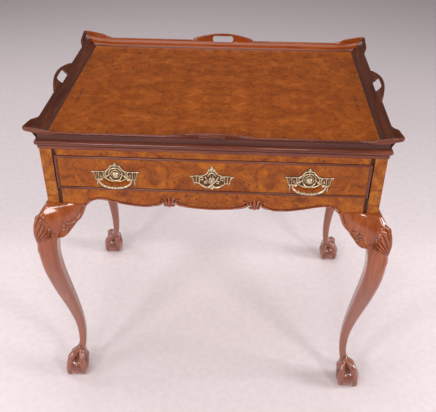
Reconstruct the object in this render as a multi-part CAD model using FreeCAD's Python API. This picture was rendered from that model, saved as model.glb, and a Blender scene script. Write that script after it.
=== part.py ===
import FreeCAD, Part
import math
import os

# A tray top tea table: a shallow burr veneered case with one drawer, a tray
# with a flared gallery on top, and four cabriole legs on ball and claw feet.
# Millimetres, +Z up. The origin is on the floor under the middle of the
# table, +X is the width and the drawer faces -Y.

Vec = FreeCAD.Vector

# ---- driving sizes of the case ----
bodyWidth = 686.0
bodyDepth = 502.0
kneeLine = 522.5
friezeTop = 653.5
boardTop = 673.0
traySurface = 680.0
postSize = 25.0
veneerThickness = 1.0
panelThickness = 18.0
railDepth = 22.0
tenonThickness = 8.0
tenonLength = 10.0
tenonSetback = 6.0
apronTenonLow = 528.0
apronTenonTop = 554.0
panelTenonLow = 530.0
panelTenonTop = 645.0
jointGap = 0.05
halfWidth = bodyWidth / 2
halfDepth = bodyDepth / 2
postInnerX = halfWidth - postSize
postInnerY = halfDepth - postSize

# ---- driving sizes of the drawer ----
openingBottom = 559.4
openingTop = 638.6
drawerHalf = 316.2
drawerBottom = 560.0
drawerTop = 638.0
drawerFace = halfDepth - 0.3
frontThickness = 20.0
sideThickness = 10.0
sideTop = 634.5
drawerBackY = 224.0
backThickness = 9.0
beadWidth = 5.2
beadDepth = 8.0
beadProud = 2.8
beadNose = 2.0
bottomLow = 566.0
bottomThickness = 5.5
grooveDepth = 4.0

# ---- driving sizes of the tray ----
galleryInset = 16.0
neckOffset = 1.5
rimHeight = 694.3
rimOffset = 10.8
rimThickness = 5.4
cornerStart = 62.0
cornerStep = 15.0
cornerFlare = 7.8
cornerRise = 8.0
cornerSweep = 7.5
sweepStart = 47.0
sweepLength = 52.0
handleHalf = 79.0
handleShoulder = 6.0
handleStep = 3.5
handleRise = 10.0
handleLean = 1.31
holeHalf = 26.5
holeLow = 690.8
holeHigh = 702.4
baseBeadInset = 6.0
baseBeadProud = 7.5

# ---- driving sizes of the brasses ----
handleX = 195.0
plateZ = 600.0
plateThickness = 1.5
bailHalf = 33.0
bailDrop = 20.5
bailPivotZ = 591.0
bailPivotProud = 9.5
bailWire = 2.0
postBallRadius = 3.2
postFromBail = 5.9
pinRadius = 1.3
pinClearance = 0.08


def save(name, shape):
    shape.exportStep("parts/" + name + ".step")


def box(x0, x1, y0, y1, z0, z1):
    return Part.makeBox(x1 - x0, y1 - y0, z1 - z0, Vec(x0, y0, z0))


def turned(shape, degrees):
    copy = shape.copy()
    copy.rotate(Vec(0, 0, 0), Vec(0, 0, 1), degrees)
    return copy


def mirroredX(shape):
    return shape.mirror(Vec(0, 0, 0), Vec(1, 0, 0))


def prismXZ(points, y0, y1):
    # a polygon in the XZ plane, run from y0 to y1
    corners = [Vec(x, y0, z) for x, z in points]
    wire = Part.makePolygon(corners + corners[:1])
    return Part.Face(wire).extrude(Vec(0, y1 - y0, 0))


def prismXY(points, z0, z1):
    corners = [Vec(x, y, z0) for x, y in points]
    wire = Part.makePolygon(corners + corners[:1])
    return Part.Face(wire).extrude(Vec(0, 0, z1 - z0))


def spline(points):
    curve = Part.BSplineCurve()
    curve.interpolate(points)
    return curve.toShape()


def line(a, b):
    return Part.LineSegment(a, b).toShape()


def joined(shapes):
    whole = shapes[0]
    for shape in shapes[1:]:
        whole = whole.fuse(shape)
    return whole.removeSplitter()


# ------------------------------------------------------------------ legs
# Each leg is drawn with the body corner at (0, 0) and the outside towards
# +X +Y, then turned and moved to its corner. A station is the height, the
# offset of the outer arris, the offset of the inner faces, how far the outer
# faces fall back at the knee blocks, and the radii of the arris and of the
# other corners.
legStations = [
    (522.5, 3.0, -25.0, 0.0, 5.0, 1.0),
    (519.0, 8.0, -25.0, 1.5, 8.0, 1.0),
    (514.0, 12.5, -25.0, 3.5, 11.0, 1.0),
    (506.0, 19.0, -25.0, 6.5, 14.0, 1.0),
    (497.0, 25.0, -25.0, 10.0, 16.0, 1.0),
    (486.0, 30.0, -25.0, 13.0, 16.5, 1.0),
    (474.0, 32.8, -25.0, 14.0, 16.5, 1.5),
    (462.0, 33.4, -23.0, 12.5, 15.5, 3.0),
    (450.0, 33.2, -17.5, 9.0, 14.5, 6.0),
    (438.0, 33.0, -13.0, 5.0, 13.5, 9.0),
    (424.0, 33.0, -10.8, 2.0, 12.8, 11.0),
    (408.0, 32.8, -9.8, 0.5, 12.4, 12.0),
    (385.0, 32.0, -9.9, 0.0, 12.5, 12.5),
    (360.0, 30.0, -11.4, 0.0, 12.5, 12.5),
    (330.0, 25.8, -14.4, 0.0, 12.5, 12.5),
    (296.0, 19.4, -18.6, 0.0, 12.0, 12.0),
    (260.0, 11.4, -22.9, 0.0, 11.0, 11.0),
    (221.0, 2.4, -27.0, 0.0, 10.0, 10.0),
    (182.0, -5.4, -30.2, 0.0, 8.6, 8.6),
    (145.0, -10.6, -31.5, 0.0, 7.2, 7.2),
    (110.0, -11.8, -30.1, 0.0, 6.3, 6.3),
    (85.0, -10.1, -26.9, 0.0, 5.8, 5.8),
    (66.0, -5.8, -23.0, 0.0, 5.9, 5.9),
    (50.0, -1.5, -19.5, 0.0, 6.0, 6.0),
]
footCentre = -2.5
ballRadius = 27.5
ballHeight = 23.0
webRadius = 29.3
webLow = 27.0


def roundedLoop(corners, radii, z):
    # a closed wire of straight edges and corner arcs at one height
    count = len(corners)
    cuts = []
    for i in range(count):
        here = Vec(corners[i][0], corners[i][1], z)
        before = Vec(corners[i - 1][0], corners[i - 1][1], z)
        after = Vec(corners[(i + 1) % count][0], corners[(i + 1) % count][1], z)
        toBefore = (before - here).normalize()
        toAfter = (after - here).normalize()
        half = toBefore.getAngle(toAfter) / 2
        reach = radii[i] / math.tan(half)
        middle = (toBefore + toAfter).normalize()
        apex = here + middle * (radii[i] / math.sin(half) - radii[i])
        cuts.append((here + toBefore * reach, apex, here + toAfter * reach))
    edges = []
    for i in range(count):
        edges.append(Part.Arc(*cuts[i]).toShape())
        edges.append(line(cuts[i][2], cuts[(i + 1) % count][0]))
    return Part.Wire(edges)


def legSection(station):
    z, outer, inner, fall, arris, rest = station
    side = outer - fall
    corners = [(outer, outer), (inner, side), (inner, inner), (side, inner)]
    return roundedLoop(corners, [arris, rest, rest, rest], z)


def toe(angle, points):
    # points are (radius from the foot's centre, sideways, height, thickness)
    out = Vec(math.cos(math.radians(angle)), math.sin(math.radians(angle)), 0)
    side = Vec(-out.y, out.x, 0)
    centre = Vec(footCentre, footCentre, 0)
    path = [centre + out * r + side * s + Vec(0, 0, z) for r, s, z, t in points]
    wires = []
    for i, point in enumerate(path):
        ahead = path[min(i + 1, len(path) - 1)] - path[max(i - 1, 0)]
        circle = Part.makeCircle(points[i][3])
        circle.Placement = FreeCAD.Placement(point, FreeCAD.Rotation(Vec(0, 0, -1), ahead))
        wires.append(Part.Wire([circle]))
    return Part.makeLoft(wires, True, False)


frontToe = [(-14, 0, 75, 6.5), (-1, 0, 69, 7.6), (11, 0, 61.5, 8.4), (17.5, 0, 53, 8.2), (20.5, 0, 43, 7.4),
            (24, 0, 29, 7.2), (26.5, 0, 15, 6.6), (25, 0, 5.4, 4.4)]
sideToe = [(-3, 13, 70, 6.2), (8, 10, 62, 7.4), (16, 5, 53, 8.0), (21.5, 1, 43, 7.6),
           (24.5, 0, 29, 7.0), (25.5, 0, 15, 6.2), (23.5, 0, 5.2, 4.2)]
backToe = [(14, 0, 70, 6.4), (19, 0, 61, 7.4), (23.5, 0, 51, 8.0), (26, 0, 41, 7.8),
           (26, 0, 28, 7.0), (24.5, 0, 14.5, 6.0), (22.5, 0, 5.2, 4.2)]


def mirroredToe(points):
    return [(r, -s, z, t) for r, s, z, t in points]


def makeBall(radius, low):
    # a ball round the foot's centre, with everything under the low level off
    centre = Vec(footCentre, footCentre, ballHeight)
    return Part.makeSphere(radius, centre).common(box(-60, 60, -60, 60, low, 80))


def makeLeg():
    shaft = Part.makeLoft([legSection(s) for s in legStations], True, False)
    core = box(-postSize, -veneerThickness, -postSize, -veneerThickness, kneeLine, friezeTop)
    ball = makeBall(ballRadius, 0)
    web = makeBall(webRadius, webLow)
    toes = [toe(45, frontToe), toe(135, sideToe), toe(-45, mirroredToe(sideToe)), toe(225, backToe)]
    return joined([shaft, core, ball, web] + toes)


def makeFacing():
    outside = box(-postSize, 0, -postSize, 0, kneeLine + 0.4, friezeTop)
    inside = box(-postSize - 1, -veneerThickness, -postSize - 1, -veneerThickness, kneeLine, friezeTop)
    return outside.cut(inside)


corners = {
    "back_right": (0, 1, 1),
    "back_left": (90, -1, 1),
    "front_left": (180, -1, -1),
    "front_right": (270, 1, -1),
}


def atCorner(shape, name):
    degrees, sx, sy = corners[name]
    placed = turned(shape, degrees)
    placed.translate(Vec(sx * halfWidth, sy * halfDepth, 0))
    return placed


# ------------------------------------------------------------ knee blocks
# A knee block fills the angle between the knee and the rail above it. Its
# face starts level with the knee and falls back to the rail's face. u is
# the distance from the body corner along the rail.
blockEnd = 85.0
blockStart = 15.5
blockOutline = [(85.0, 521.8), (82.5, 518.0), (79.0, 510.0), (75.5, 501.0), (72.0, 492.0),
                (68.5, 483.0), (63.0, 475.5), (56.0, 469.5), (49.0, 464.5), (43.0, 459.0),
                (37.5, 453.5), (31.0, 450.0), (25.0, 448.0), (15.5, 446.4)]
blockHeights = [522.5, 519.0, 514.0, 506.0, 497.0, 486.0, 474.0, 462.0, 450.0, 441.0]
blockBackOffset = -15.0
footSink = 1.2


def kneeProud(z):
    # the face of the knee at the block, between the leg's stations
    for upper, lower in zip(legStations, legStations[1:]):
        if lower[0] <= z <= upper[0]:
            share = (upper[0] - z) / (upper[0] - lower[0])
            high = upper[1] - upper[3]
            low = lower[1] - lower[3]
            return high + (low - high) * share
    return 0.0


def blockSection(u):
    share = (u - postSize) / (blockEnd - postSize)
    fade = max(0.0, 1 - share) ** 1.3
    front = []
    for z in blockHeights:
        front.append(Vec(-u, kneeProud(z) * fade + 1.5 * share * (kneeLine - z) / 30, z))
    low = blockHeights[-1]
    back = [Vec(-u, blockBackOffset, low), Vec(-u, blockBackOffset, kneeLine)]
    edges = [spline(front), line(front[-1], back[0]), line(back[0], back[1]), line(back[1], front[0])]
    return Part.Wire(edges)


def makeBlockFoot():
    # the block's low end runs on behind the knee, where the leg narrows
    profile = [Vec(-blockStart, kneeProud(z) - footSink, z) for z in (478.0, 474.0, 462.0, 450.0, 441.0)]
    profile += [Vec(-blockStart, blockBackOffset, 441.0), Vec(-blockStart, blockBackOffset, 478.0)]
    face = Part.Face(Part.makePolygon(profile + profile[:1]))
    return face.extrude(Vec(blockStart - postSize, 0, 0))


def makeKneeBlock(leg):
    stops = [postSize, 34.0, 46.0, 60.0, 74.0, 88.0]
    bulk = Part.makeLoft([blockSection(u) for u in stops], True, False)
    curve = [Vec(-u, -40, z) for u, z in blockOutline]
    top = [Vec(-blockStart, -40, kneeLine - jointGap), Vec(-blockEnd, -40, kneeLine - jointGap)]
    edges = [spline(curve), line(curve[-1], top[0]), line(top[0], top[1]), line(top[1], curve[0])]
    outline = Part.Face(Part.Wire(edges)).extrude(Vec(0, 100, 0))
    foot = makeBlockFoot().common(outline).cut(leg)
    return joined([bulk.common(outline).cut(leg), foot])


def acrossDiagonal(shape):
    return shape.mirror(Vec(0, 0, 0), Vec(1, -1, 0))


# ---------------------------------------------------- rails and panels
# The lower edge of a rail, from the knee block to the middle: an arch that
# falls away in a long shallow lobe, a carved ornament with a small lobe
# between two notches, and a shallow centre lobe.
frontArch = [(258.0, 522.5), (253.0, 527.5), (246.0, 531.8), (238.0, 534.3), (228.0, 534.2),
             (216.0, 532.2), (204.0, 529.6), (190.0, 526.0), (172.0, 522.7), (156.0, 520.3),
             (141.0, 519.6), (128.0, 520.2), (119.0, 522.5)]
frontOrnament = [(119.0, 522.5), (115.0, 524.0), (109.0, 527.0), (103.0, 528.5), (97.0, 527.0),
                 (90.0, 523.5), (84.0, 524.0), (77.0, 529.0), (72.0, 528.0), (65.0, 525.0),
                 (57.0, 522.5)]
frontCentre = [(57.0, 522.5), (47.0, 521.0), (34.0, 519.7), (22.0, 519.0), (10.0, 518.2), (0.0, 518.0)]
sideArch = [(166.0, 522.5), (161.0, 527.5), (154.0, 531.8), (146.0, 534.3), (136.0, 534.2),
            (124.0, 532.0), (110.0, 528.2), (94.0, 524.2), (78.0, 521.2), (62.0, 519.8),
            (46.0, 520.2), (30.0, 522.5)]
sideOrnament = [(30.0, 522.5), (26.0, 524.0), (20.0, 527.0), (14.5, 528.7), (8.0, 526.0), (0.0, 523.0)]
edgeBeadWidth = 5.5
edgeBeadProud = 2.6
edgeBeadDepth = 6.0


def bothHalves(points):
    return points + [(-x, z) for x, z in points[-2::-1]]


def liftedPoints(points, distance):
    # the same line, moved square to itself towards the inside of the rail
    lifted = []
    for i, (x, z) in enumerate(points):
        x0, z0 = points[max(i - 1, 0)]
        x1, z1 = points[min(i + 1, len(points) - 1)]
        length = math.hypot(x1 - x0, z1 - z0)
        lifted.append((x + (z1 - z0) / length * distance, z - (x1 - x0) / length * distance))
    return lifted


def lowerEdges(spans, y):
    return [spline([Vec(x, y, z) for x, z in points]) for points in spans]


def shapedBoard(spans, end, top, y0, y1):
    # a board whose lower edge follows the spans, from +end to -end
    first = spans[0][0]
    last = spans[-1][-1]
    edges = [line(Vec(end, y0, first[1]), Vec(first[0], y0, first[1]))]
    edges += lowerEdges(spans, y0)
    edges.append(line(Vec(last[0], y0, last[1]), Vec(-end, y0, last[1])))
    edges.append(line(Vec(-end, y0, last[1]), Vec(-end, y0, top)))
    edges.append(line(Vec(-end, y0, top), Vec(end, y0, top)))
    edges.append(line(Vec(end, y0, top), Vec(end, y0, first[1])))
    return Part.Face(Part.Wire(edges)).extrude(Vec(0, y1 - y0, 0))


def edgeStrip(points, y0, y1):
    lifted = liftedPoints(points, edgeBeadWidth)
    low = [Vec(x, y0, z) for x, z in points]
    high = [Vec(x, y0, z) for x, z in lifted]
    edges = [spline(low), line(low[-1], high[-1]), spline(high), line(high[0], low[0])]
    return Part.Face(Part.Wire(edges)).extrude(Vec(0, y1 - y0, 0))


petalFan = ((90, 21), (50, 20), (130, 20), (14, 24), (166, 24))
petalHalf = 4.0


def ornament(x, z, y):
    # a carved leaf cluster: five petals fanned round a button
    petals = [Part.makeCylinder(4.0, 7.0, Vec(x, y - 4.2, z), Vec(0, 1, 0))]
    for degrees, length in petalFan:
        petal = Part.Face(Part.Wire(Part.Ellipse(Vec(0, 0, 0), length / 2, petalHalf).toShape()))
        petal = petal.extrude(Vec(0, 0, 6.0))
        petal.translate(Vec(length / 2 - 2, 0, 0))
        petal.rotate(Vec(0, 0, 0), Vec(0, 0, 1), degrees)
        petal.rotate(Vec(0, 0, 0), Vec(1, 0, 0), 90)
        petal.translate(Vec(x, y + 2.8, z))
        petals.append(petal)
    return joined(petals)


def tenon(x0, x1, z0, z1, face):
    # face is the outer face's distance from the middle, towards -Y
    return box(x0, x1, -face + tenonSetback, -face + tenonSetback + tenonThickness, z0, z1)


def railWithTenons(board, end, face, z0, z1):
    left = tenon(-end - tenonLength, -end, z0, z1, face)
    right = tenon(end, end + tenonLength, z0, z1, face)
    return joined([board, left, right])


grooveWidth = 4.4
grooveDeep = 1.6
grooveChamfer = 0.8


def cornerGroove(side, face):
    # a channel down the boards beside a post, with its two edges eased
    outer = side * (postInnerX + grooveChamfer)
    seam = side * postInnerX
    inner = side * (postInnerX - grooveWidth)
    floor = side * (postInnerX - grooveWidth + grooveChamfer)
    points = [(inner, -face - 1), (outer, -face - 1), (outer, -face), (seam, -face + grooveChamfer),
              (seam, -face + grooveDeep), (floor, -face + grooveDeep), (inner, -face + grooveChamfer)]
    return prismXY(points, kneeLine + 0.5, friezeTop)


# --------------------------------------------------------------- gallery
# The gallery flares out from a neck on top of the case. It steps and sweeps
# up at the corners and rises into a pierced hand grip that leans out in the
# middle of each side. Its sections are drawn across the front side, with the
# offset from the body's face towards -Y.
def smooth(t):
    t = max(0.0, min(1.0, t))
    return t * t * (3 - 2 * t)


def galleryRim(station, halfLength):
    # the rim's height, its offset, the grip's rise, and its lean outwards
    toCorner = halfLength - abs(station)
    step = smooth((cornerStart - toCorner) / cornerStep)
    sweep = smooth((sweepStart - toCorner) / sweepLength)
    height = rimHeight + step * (cornerRise + cornerSweep * sweep)
    offset = rimOffset + cornerFlare * step
    bow = handleRise * max(0.0, 1 - (station / handleHalf) ** 2) ** 1.15
    rise = handleStep * smooth((handleHalf - abs(station)) / handleShoulder) + bow
    return height, offset, rise, handleLean * bow


def gallerySection(station, halfLength, halfAcross):
    height, offset, rise, lean = galleryRim(station, halfLength)
    tall = height - boardTop
    wide = offset - neckOffset
    low = height - 2.6

    def at(off, z):
        return Vec(station, -(halfAcross + off), z)

    flare = [(0.0, 0.0), (0.03, 0.25), (0.15, 0.5), (0.42, 0.75)]
    outer = [at(neckOffset + wide * f, boardTop + tall * h) for f, h in flare]
    outer.append(at(offset - 1.2, low))
    finOut = at(offset + lean, low + rise + 0.8)
    finIn = at(offset + lean - rimThickness, low + rise + 0.6)
    crown = at(offset + lean - rimThickness / 2, low + rise + 2.6)
    innerTop = at(offset - rimThickness - 1.0, low - 0.4)
    drop = low - 0.4 - traySurface
    run = offset - rimThickness - 1.0 + galleryInset
    hollow = [(0.0, 0.0), (0.28, 0.17), (0.48, 0.46), (0.70, 0.78), (1.0, 1.0)]
    inner = [at(-galleryInset + run * f, traySurface + drop * h) for f, h in hollow]
    inner[-1] = innerTop
    inner.reverse()
    foot = at(-galleryInset, boardTop)
    edges = [
        spline(outer),
        line(outer[-1], finOut),
        Part.Arc(finOut, crown, finIn).toShape(),
        line(finIn, innerTop),
        spline(inner),
        line(inner[-1], foot),
        line(foot, outer[0]),
    ]
    return Part.Wire(edges)


def mitredBlank(halfLength, halfAcross, z0, z1):
    out = 40.0
    inside = 70.0
    points = [(-halfLength - out, -halfAcross - out), (halfLength + out, -halfAcross - out),
              (halfLength - inside, -halfAcross + inside), (-halfLength + inside, -halfAcross + inside)]
    return prismXY(points, z0, z1)


def galleryStations(halfLength):
    stops = [0.0, 20.0, 36.0, 50.0, 60.0, 67.5, 73.0, 75.0, 77.0, handleHalf]
    stops += [halfLength - d for d in (cornerStart, 57.5, 54.5, 51.5, sweepStart)]
    stops += [halfLength - d for d in (37.0, 28.0, 19.0, 10.0, -5.0, -28.0)]
    return [-s for s in stops[:0:-1]] + stops


def makeGallery(halfLength, halfAcross):
    wires = [gallerySection(s, halfLength, halfAcross) for s in galleryStations(halfLength)]
    bar = Part.makeLoft(wires, True, True)
    bar = bar.common(mitredBlank(halfLength, halfAcross, 600, 760))
    radius = (holeHigh - holeLow) / 2
    middle = (holeHigh + holeLow) / 2
    y0 = -halfAcross - 60
    slot = box(-holeHalf + radius, holeHalf - radius, y0, -halfAcross + 40, holeLow, holeHigh)
    ends = [Part.makeCylinder(radius, 100, Vec(x, y0, middle), Vec(0, 1, 0))
            for x in (-holeHalf + radius, holeHalf - radius)]
    return bar.cut(slot).cut(ends[0]).cut(ends[1])


def makeBaseBead(halfLength, halfAcross):
    # a half round with a fillet below it, glued to the edge of the top board
    x = -halfLength - 30

    def at(off, z):
        return Vec(x, -(halfAcross + off), z)

    filletProud = 2.6
    filletTop = 660.2
    noseLow = 661.6
    edges = [
        line(at(-baseBeadInset, friezeTop), at(filletProud, friezeTop)),
        line(at(filletProud, friezeTop), at(filletProud, filletTop)),
        line(at(filletProud, filletTop), at(neckOffset, noseLow - 0.6)),
        line(at(neckOffset, noseLow - 0.6), at(neckOffset, noseLow)),
        Part.Arc(at(neckOffset, noseLow), at(baseBeadProud, 667.2), at(neckOffset, boardTop)).toShape(),
        line(at(neckOffset, boardTop), at(-baseBeadInset, boardTop)),
        line(at(-baseBeadInset, boardTop), at(-baseBeadInset, friezeTop)),
    ]
    bar = Part.Face(Part.Wire(edges)).extrude(Vec(2 * halfLength + 60, 0, 0))
    return bar.common(mitredBlank(halfLength, halfAcross, 600, 760))


# ---------------------------------------------------------------- brasses
plateOutline = [(0, 26.2), (1.9, 24.8), (3.2, 22.6), (2.6, 20.4), (5.6, 18.2), (9.6, 17.4),
                (10.4, 14.6), (12.0, 11.0), (15.0, 8.0), (20.0, 5.9), (27.0, 4.9), (46.6, 4.9),
                (47.6, 3.6), (44.8, 1.4), (43.4, -3.0), (42.4, -9.0), (40.6, -14.5), (39.8, -20.0),
                (38.0, -30.5), (36.2, -20.0), (35.8, -15.4), (31.0, -15.2), (28.4, -11.4),
                (24.0, -9.6), (19.5, -12.0), (14.5, -16.6), (8.5, -19.6), (3.5, -18.6), (0, -17.2)]
escutcheonOutline = [(0, 26.0), (1.5, 22.0), (3.6, 17.8), (6.6, 15.2), (7.0, 10.6), (9.2, 6.6),
                     (14.5, 3.2), (21.0, 1.0), (27.0, 0.6), (43.4, 0.4), (43.4, -1.2), (38.4, -5.0),
                     (37.0, -11.0), (34.6, -20.5), (31.4, -20.5), (30.0, -16.6), (25.0, -19.0),
                     (21.0, -22.0), (15.0, -25.6), (8.0, -27.8), (4.2, -28.4), (2.4, -32.0), (0, -32.8)]


def plateBlank(outline, x):
    points = [(x + px, plateZ + pz) for px, pz in outline]
    points += [(x - px, plateZ + pz) for px, pz in outline[-2:0:-1]]
    return prismXZ(points, -drawerFace - plateThickness, -drawerFace)


def roundHole(x, z, radius):
    return Part.makeCylinder(radius, 60, Vec(x, -drawerFace - 40, z), Vec(0, 1, 0))


def uprightSlot(x, z0, z1, half):
    middle = box(x - half, x + half, -drawerFace - 20, -drawerFace + 5, z0, z1)
    low = roundHole(x, z0, half)
    return joined([middle, low, roundHole(x, z1, half)])


def dome(x, z, radius, height):
    # a shallow dome standing on the plate's face
    sphere = (radius * radius + height * height) / (2 * height)
    centre = Vec(x, -drawerFace - plateThickness - height + sphere, z)
    face = -drawerFace - plateThickness
    outside = box(x - 30, x + 30, face - 20, face + 0.2, z - 30, z + 30)
    return Part.makeSphere(sphere, centre).common(outside)


def bailPosts(x):
    # turned posts whose shanks pass through the drawer front
    shapes = []
    for side in (-1, 1):
        px = x + side * (bailHalf - postFromBail)
        pivotY = -drawerFace - bailPivotProud
        ball = Part.makeSphere(postBallRadius, Vec(px, pivotY, bailPivotZ))
        neck = Part.makeCylinder(2.6, bailPivotProud, Vec(px, pivotY, bailPivotZ), Vec(0, 1, 0))
        shank = Part.makeCylinder(1.9, frontThickness + 6, Vec(px, -drawerFace, bailPivotZ), Vec(0, 1, 0))
        bore = Part.makeCylinder(pinRadius + pinClearance, postBallRadius + 3,
                                 Vec(px - side * 0.6, pivotY, bailPivotZ), Vec(side, 0, 0))
        shapes.append(joined([ball, neck, shank]).cut(bore))
    return shapes


def bailNuts(x):
    shapes = []
    for side in (-1, 1):
        px = x + side * (bailHalf - postFromBail)
        y = -drawerFace + frontThickness
        flats = [Vec(px + 4.2 * math.cos(math.radians(a)), y, bailPivotZ + 4.2 * math.sin(math.radians(a)))
                 for a in range(0, 360, 60)]
        nut = Part.Face(Part.makePolygon(flats + flats[:1])).extrude(Vec(0, 3.0, 0))
        shapes.append(nut.cut(Part.makeCylinder(1.9, 10, Vec(px, y - 2, bailPivotZ), Vec(0, 1, 0))))
    return shapes


def makeBail(x):
    # a drop handle: a swept half oval, thicker at the grip, with pins turned
    # in towards the posts
    y = -drawerFace - bailPivotProud
    wires = []
    steps = 16
    for i in range(steps + 1):
        angle = math.pi * i / steps
        flat = math.sin(angle) ** 0.8
        centre = Vec(x - bailHalf * math.cos(angle), y, bailPivotZ - bailDrop * flat)
        before = math.pi * (i - 0.5) / steps
        after = math.pi * (i + 0.5) / steps
        dx = math.cos(before) - math.cos(after)
        dz = -bailDrop / bailHalf * (abs(math.sin(after)) ** 0.8 - abs(math.sin(before)) ** 0.8)
        if i == 0:
            dx, dz = 0.0, -1.0
        if i == steps:
            dx, dz = 0.0, 1.0
        radius = bailWire + 0.8 * math.sin(angle) ** 2
        facing = FreeCAD.Rotation(Vec(1, 0, 0), Vec(dx, 0, dz)).multiply(FreeCAD.Rotation(Vec(0, 1, 0), 90))
        circle = Part.makeCircle(radius)
        circle.Placement = FreeCAD.Placement(centre, facing)
        wires.append(Part.Wire([circle]))
    loop = Part.makeLoft(wires, True, False)
    pieces = [loop]
    for side in (-1, 1):
        end = Vec(x + side * bailHalf, y, bailPivotZ)
        pieces.append(Part.makeSphere(bailWire + 0.1, end))
        pieces.append(Part.makeCylinder(pinRadius, 5.2, end, Vec(-side, 0, 0)))
    return joined(pieces)


# ----------------------------------------------------------- the carcass
os.makedirs("parts", exist_ok=True)

legShape = makeLeg()
facingShape = makeFacing()
blockAlongX = makeKneeBlock(legShape)
blockAlongY = acrossDiagonal(blockAlongX)
legs = {name: atCorner(legShape, name) for name in corners}
facings = {name: atCorner(facingShape, name) for name in corners}

# on a leg turned by 90 or 270 degrees the two blocks change places
blockNames = {
    "back_right": ("back_knee_block_right", "right_knee_block_back"),
    "back_left": ("left_knee_block_back", "back_knee_block_left"),
    "front_left": ("front_knee_block_left", "left_knee_block_front"),
    "front_right": ("right_knee_block_front", "front_knee_block_right"),
}
for name, (first, second) in blockNames.items():
    save(first, atCorner(blockAlongX, name))
    save(second, atCorner(blockAlongY, name))

frontSpans = [frontArch, frontOrnament, bothHalves(frontCentre),
              [(-x, z) for x, z in frontOrnament[::-1]], [(-x, z) for x, z in frontArch[::-1]]]
sideSpans = [sideArch, bothHalves(sideOrnament), [(-x, z) for x, z in sideArch[::-1]]]

frontApron = shapedBoard(frontSpans, postInnerX, openingBottom, -halfDepth, -halfDepth + railDepth)
frontApron = railWithTenons(frontApron, postInnerX, halfDepth, apronTenonLow, apronTenonTop)
topRail = box(-postInnerX, postInnerX, -halfDepth, -halfDepth + railDepth, openingTop, friezeTop)
topRail = railWithTenons(topRail, postInnerX, halfDepth, openingTop + 2, friezeTop - 3)
backPanel = shapedBoard(frontSpans, postInnerX, friezeTop, -halfDepth, -halfDepth + panelThickness)
backPanel = turned(railWithTenons(backPanel, postInnerX, halfDepth, panelTenonLow, panelTenonTop), 180)
sidePanel = shapedBoard(sideSpans, postInnerY, friezeTop, -halfWidth, -halfWidth + panelThickness)
sidePanel = railWithTenons(sidePanel, postInnerY, halfWidth, panelTenonLow, panelTenonTop)
panelRight = turned(sidePanel, 90)
panelLeft = turned(sidePanel, -90)

# the moulded strip along each shaped edge, let into the board
edgeFront = [edgeStrip(points, -halfDepth - edgeBeadProud, -halfDepth + edgeBeadDepth)
             for points in (frontSpans[0], frontSpans[2], frontSpans[4])]
edgeSide = [edgeStrip(points, -halfWidth - edgeBeadProud, -halfWidth + edgeBeadDepth)
            for points in (sideSpans[0], sideSpans[2])]
edges = {
    "apron_edge_front": edgeFront,
    "apron_edge_back": [turned(shape, 180) for shape in edgeFront],
    "apron_edge_right": [turned(shape, 90) for shape in edgeSide],
    "apron_edge_left": [turned(shape, -90) for shape in edgeSide],
}
ornamentZ = 529.0
ornamentX = (-88.0, 88.0)
carvings = {
    "apron_carving_front": [ornament(x, ornamentZ, -halfDepth) for x in ornamentX],
    "apron_carving_back": [turned(ornament(x, ornamentZ, -halfDepth), 180) for x in ornamentX],
    "apron_carving_right": [turned(ornament(0.0, ornamentZ, -halfWidth), 90)],
    "apron_carving_left": [turned(ornament(0.0, ornamentZ, -halfWidth), -90)],
}


def letIn(board, side):
    # take out of a board the seats of its edge strips and carvings
    for shape in carvings["apron_carving_" + side]:
        board = board.cut(shape)
    for shape in edges["apron_edge_" + side]:
        board = board.cut(shape)
    return board


for side in ("front", "back", "left", "right"):
    trimmed = []
    for shape in edges["apron_edge_" + side]:
        for carving in carvings["apron_carving_" + side]:
            shape = shape.cut(carving)
        trimmed.append(shape)
    edges["apron_edge_" + side] = trimmed
    save("apron_edge_" + side, Part.Compound(trimmed))

allCarvings = [shape for group in carvings.values() for shape in group]
save("apron_carvings", Part.Compound(allCarvings))
frontApron = letIn(frontApron, "front")
backPanel = letIn(backPanel, "back")
panelRight = letIn(panelRight, "right")
panelLeft = letIn(panelLeft, "left")

for side in (-1, 1):
    groove = cornerGroove(side, halfDepth)
    frontApron = frontApron.cut(groove)
    topRail = topRail.cut(groove)
    for name in ("front_left", "front_right"):
        facings[name] = facings[name].cut(groove)

# ------------------------------------------------- inside of the carcass
runnerInner = 298.0
runnerLow = 546.0
runnerTop = 559.6
guideTop = 574.0
stopInner = 130.0
stopOuter = 160.0
stopLow = 551.0
stopTop = 563.8
stopProud = 1.2
stopDepth = 12.0
glueLow = 526.0
glueTop = 545.5
runnerOuter = halfWidth - panelThickness
guideInner = drawerHalf + 0.8
innerFrontY = -halfDepth + railDepth
innerBackY = halfDepth - panelThickness
postClearY = postInnerY - jointGap


def bothSides(shape):
    return [shape, mirroredX(shape)]


runner = joined([
    box(runnerInner, postInnerX, innerFrontY, innerBackY, runnerLow, runnerTop),
    box(postInnerX - 1, runnerOuter, -postClearY, postClearY, runnerLow, runnerTop),
])
kicker = joined([
    box(runnerInner, postInnerX, innerFrontY, innerBackY, openingTop, friezeTop),
    box(postInnerX - 1, runnerOuter, -postClearY, postClearY, openingTop, friezeTop),
])
guide = box(guideInner, runnerOuter, -postClearY, postClearY, runnerTop, guideTop)
stopBack = innerFrontY + stopDepth
stop = joined([
    box(stopInner, stopOuter, innerFrontY - stopProud, stopBack, openingBottom, stopTop),
    box(stopInner, stopOuter, innerFrontY, stopBack, stopLow, openingBottom),
])
glueFace = postInnerY - 16
glueBlock = prismXY([(runnerOuter, postInnerY), (runnerOuter, glueFace), (postInnerX - 18, innerBackY),
                     (postInnerX, innerBackY), (postInnerX, postInnerY)], glueLow, glueTop)
glueBlocks = [glueBlock, mirroredX(glueBlock)]
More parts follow.
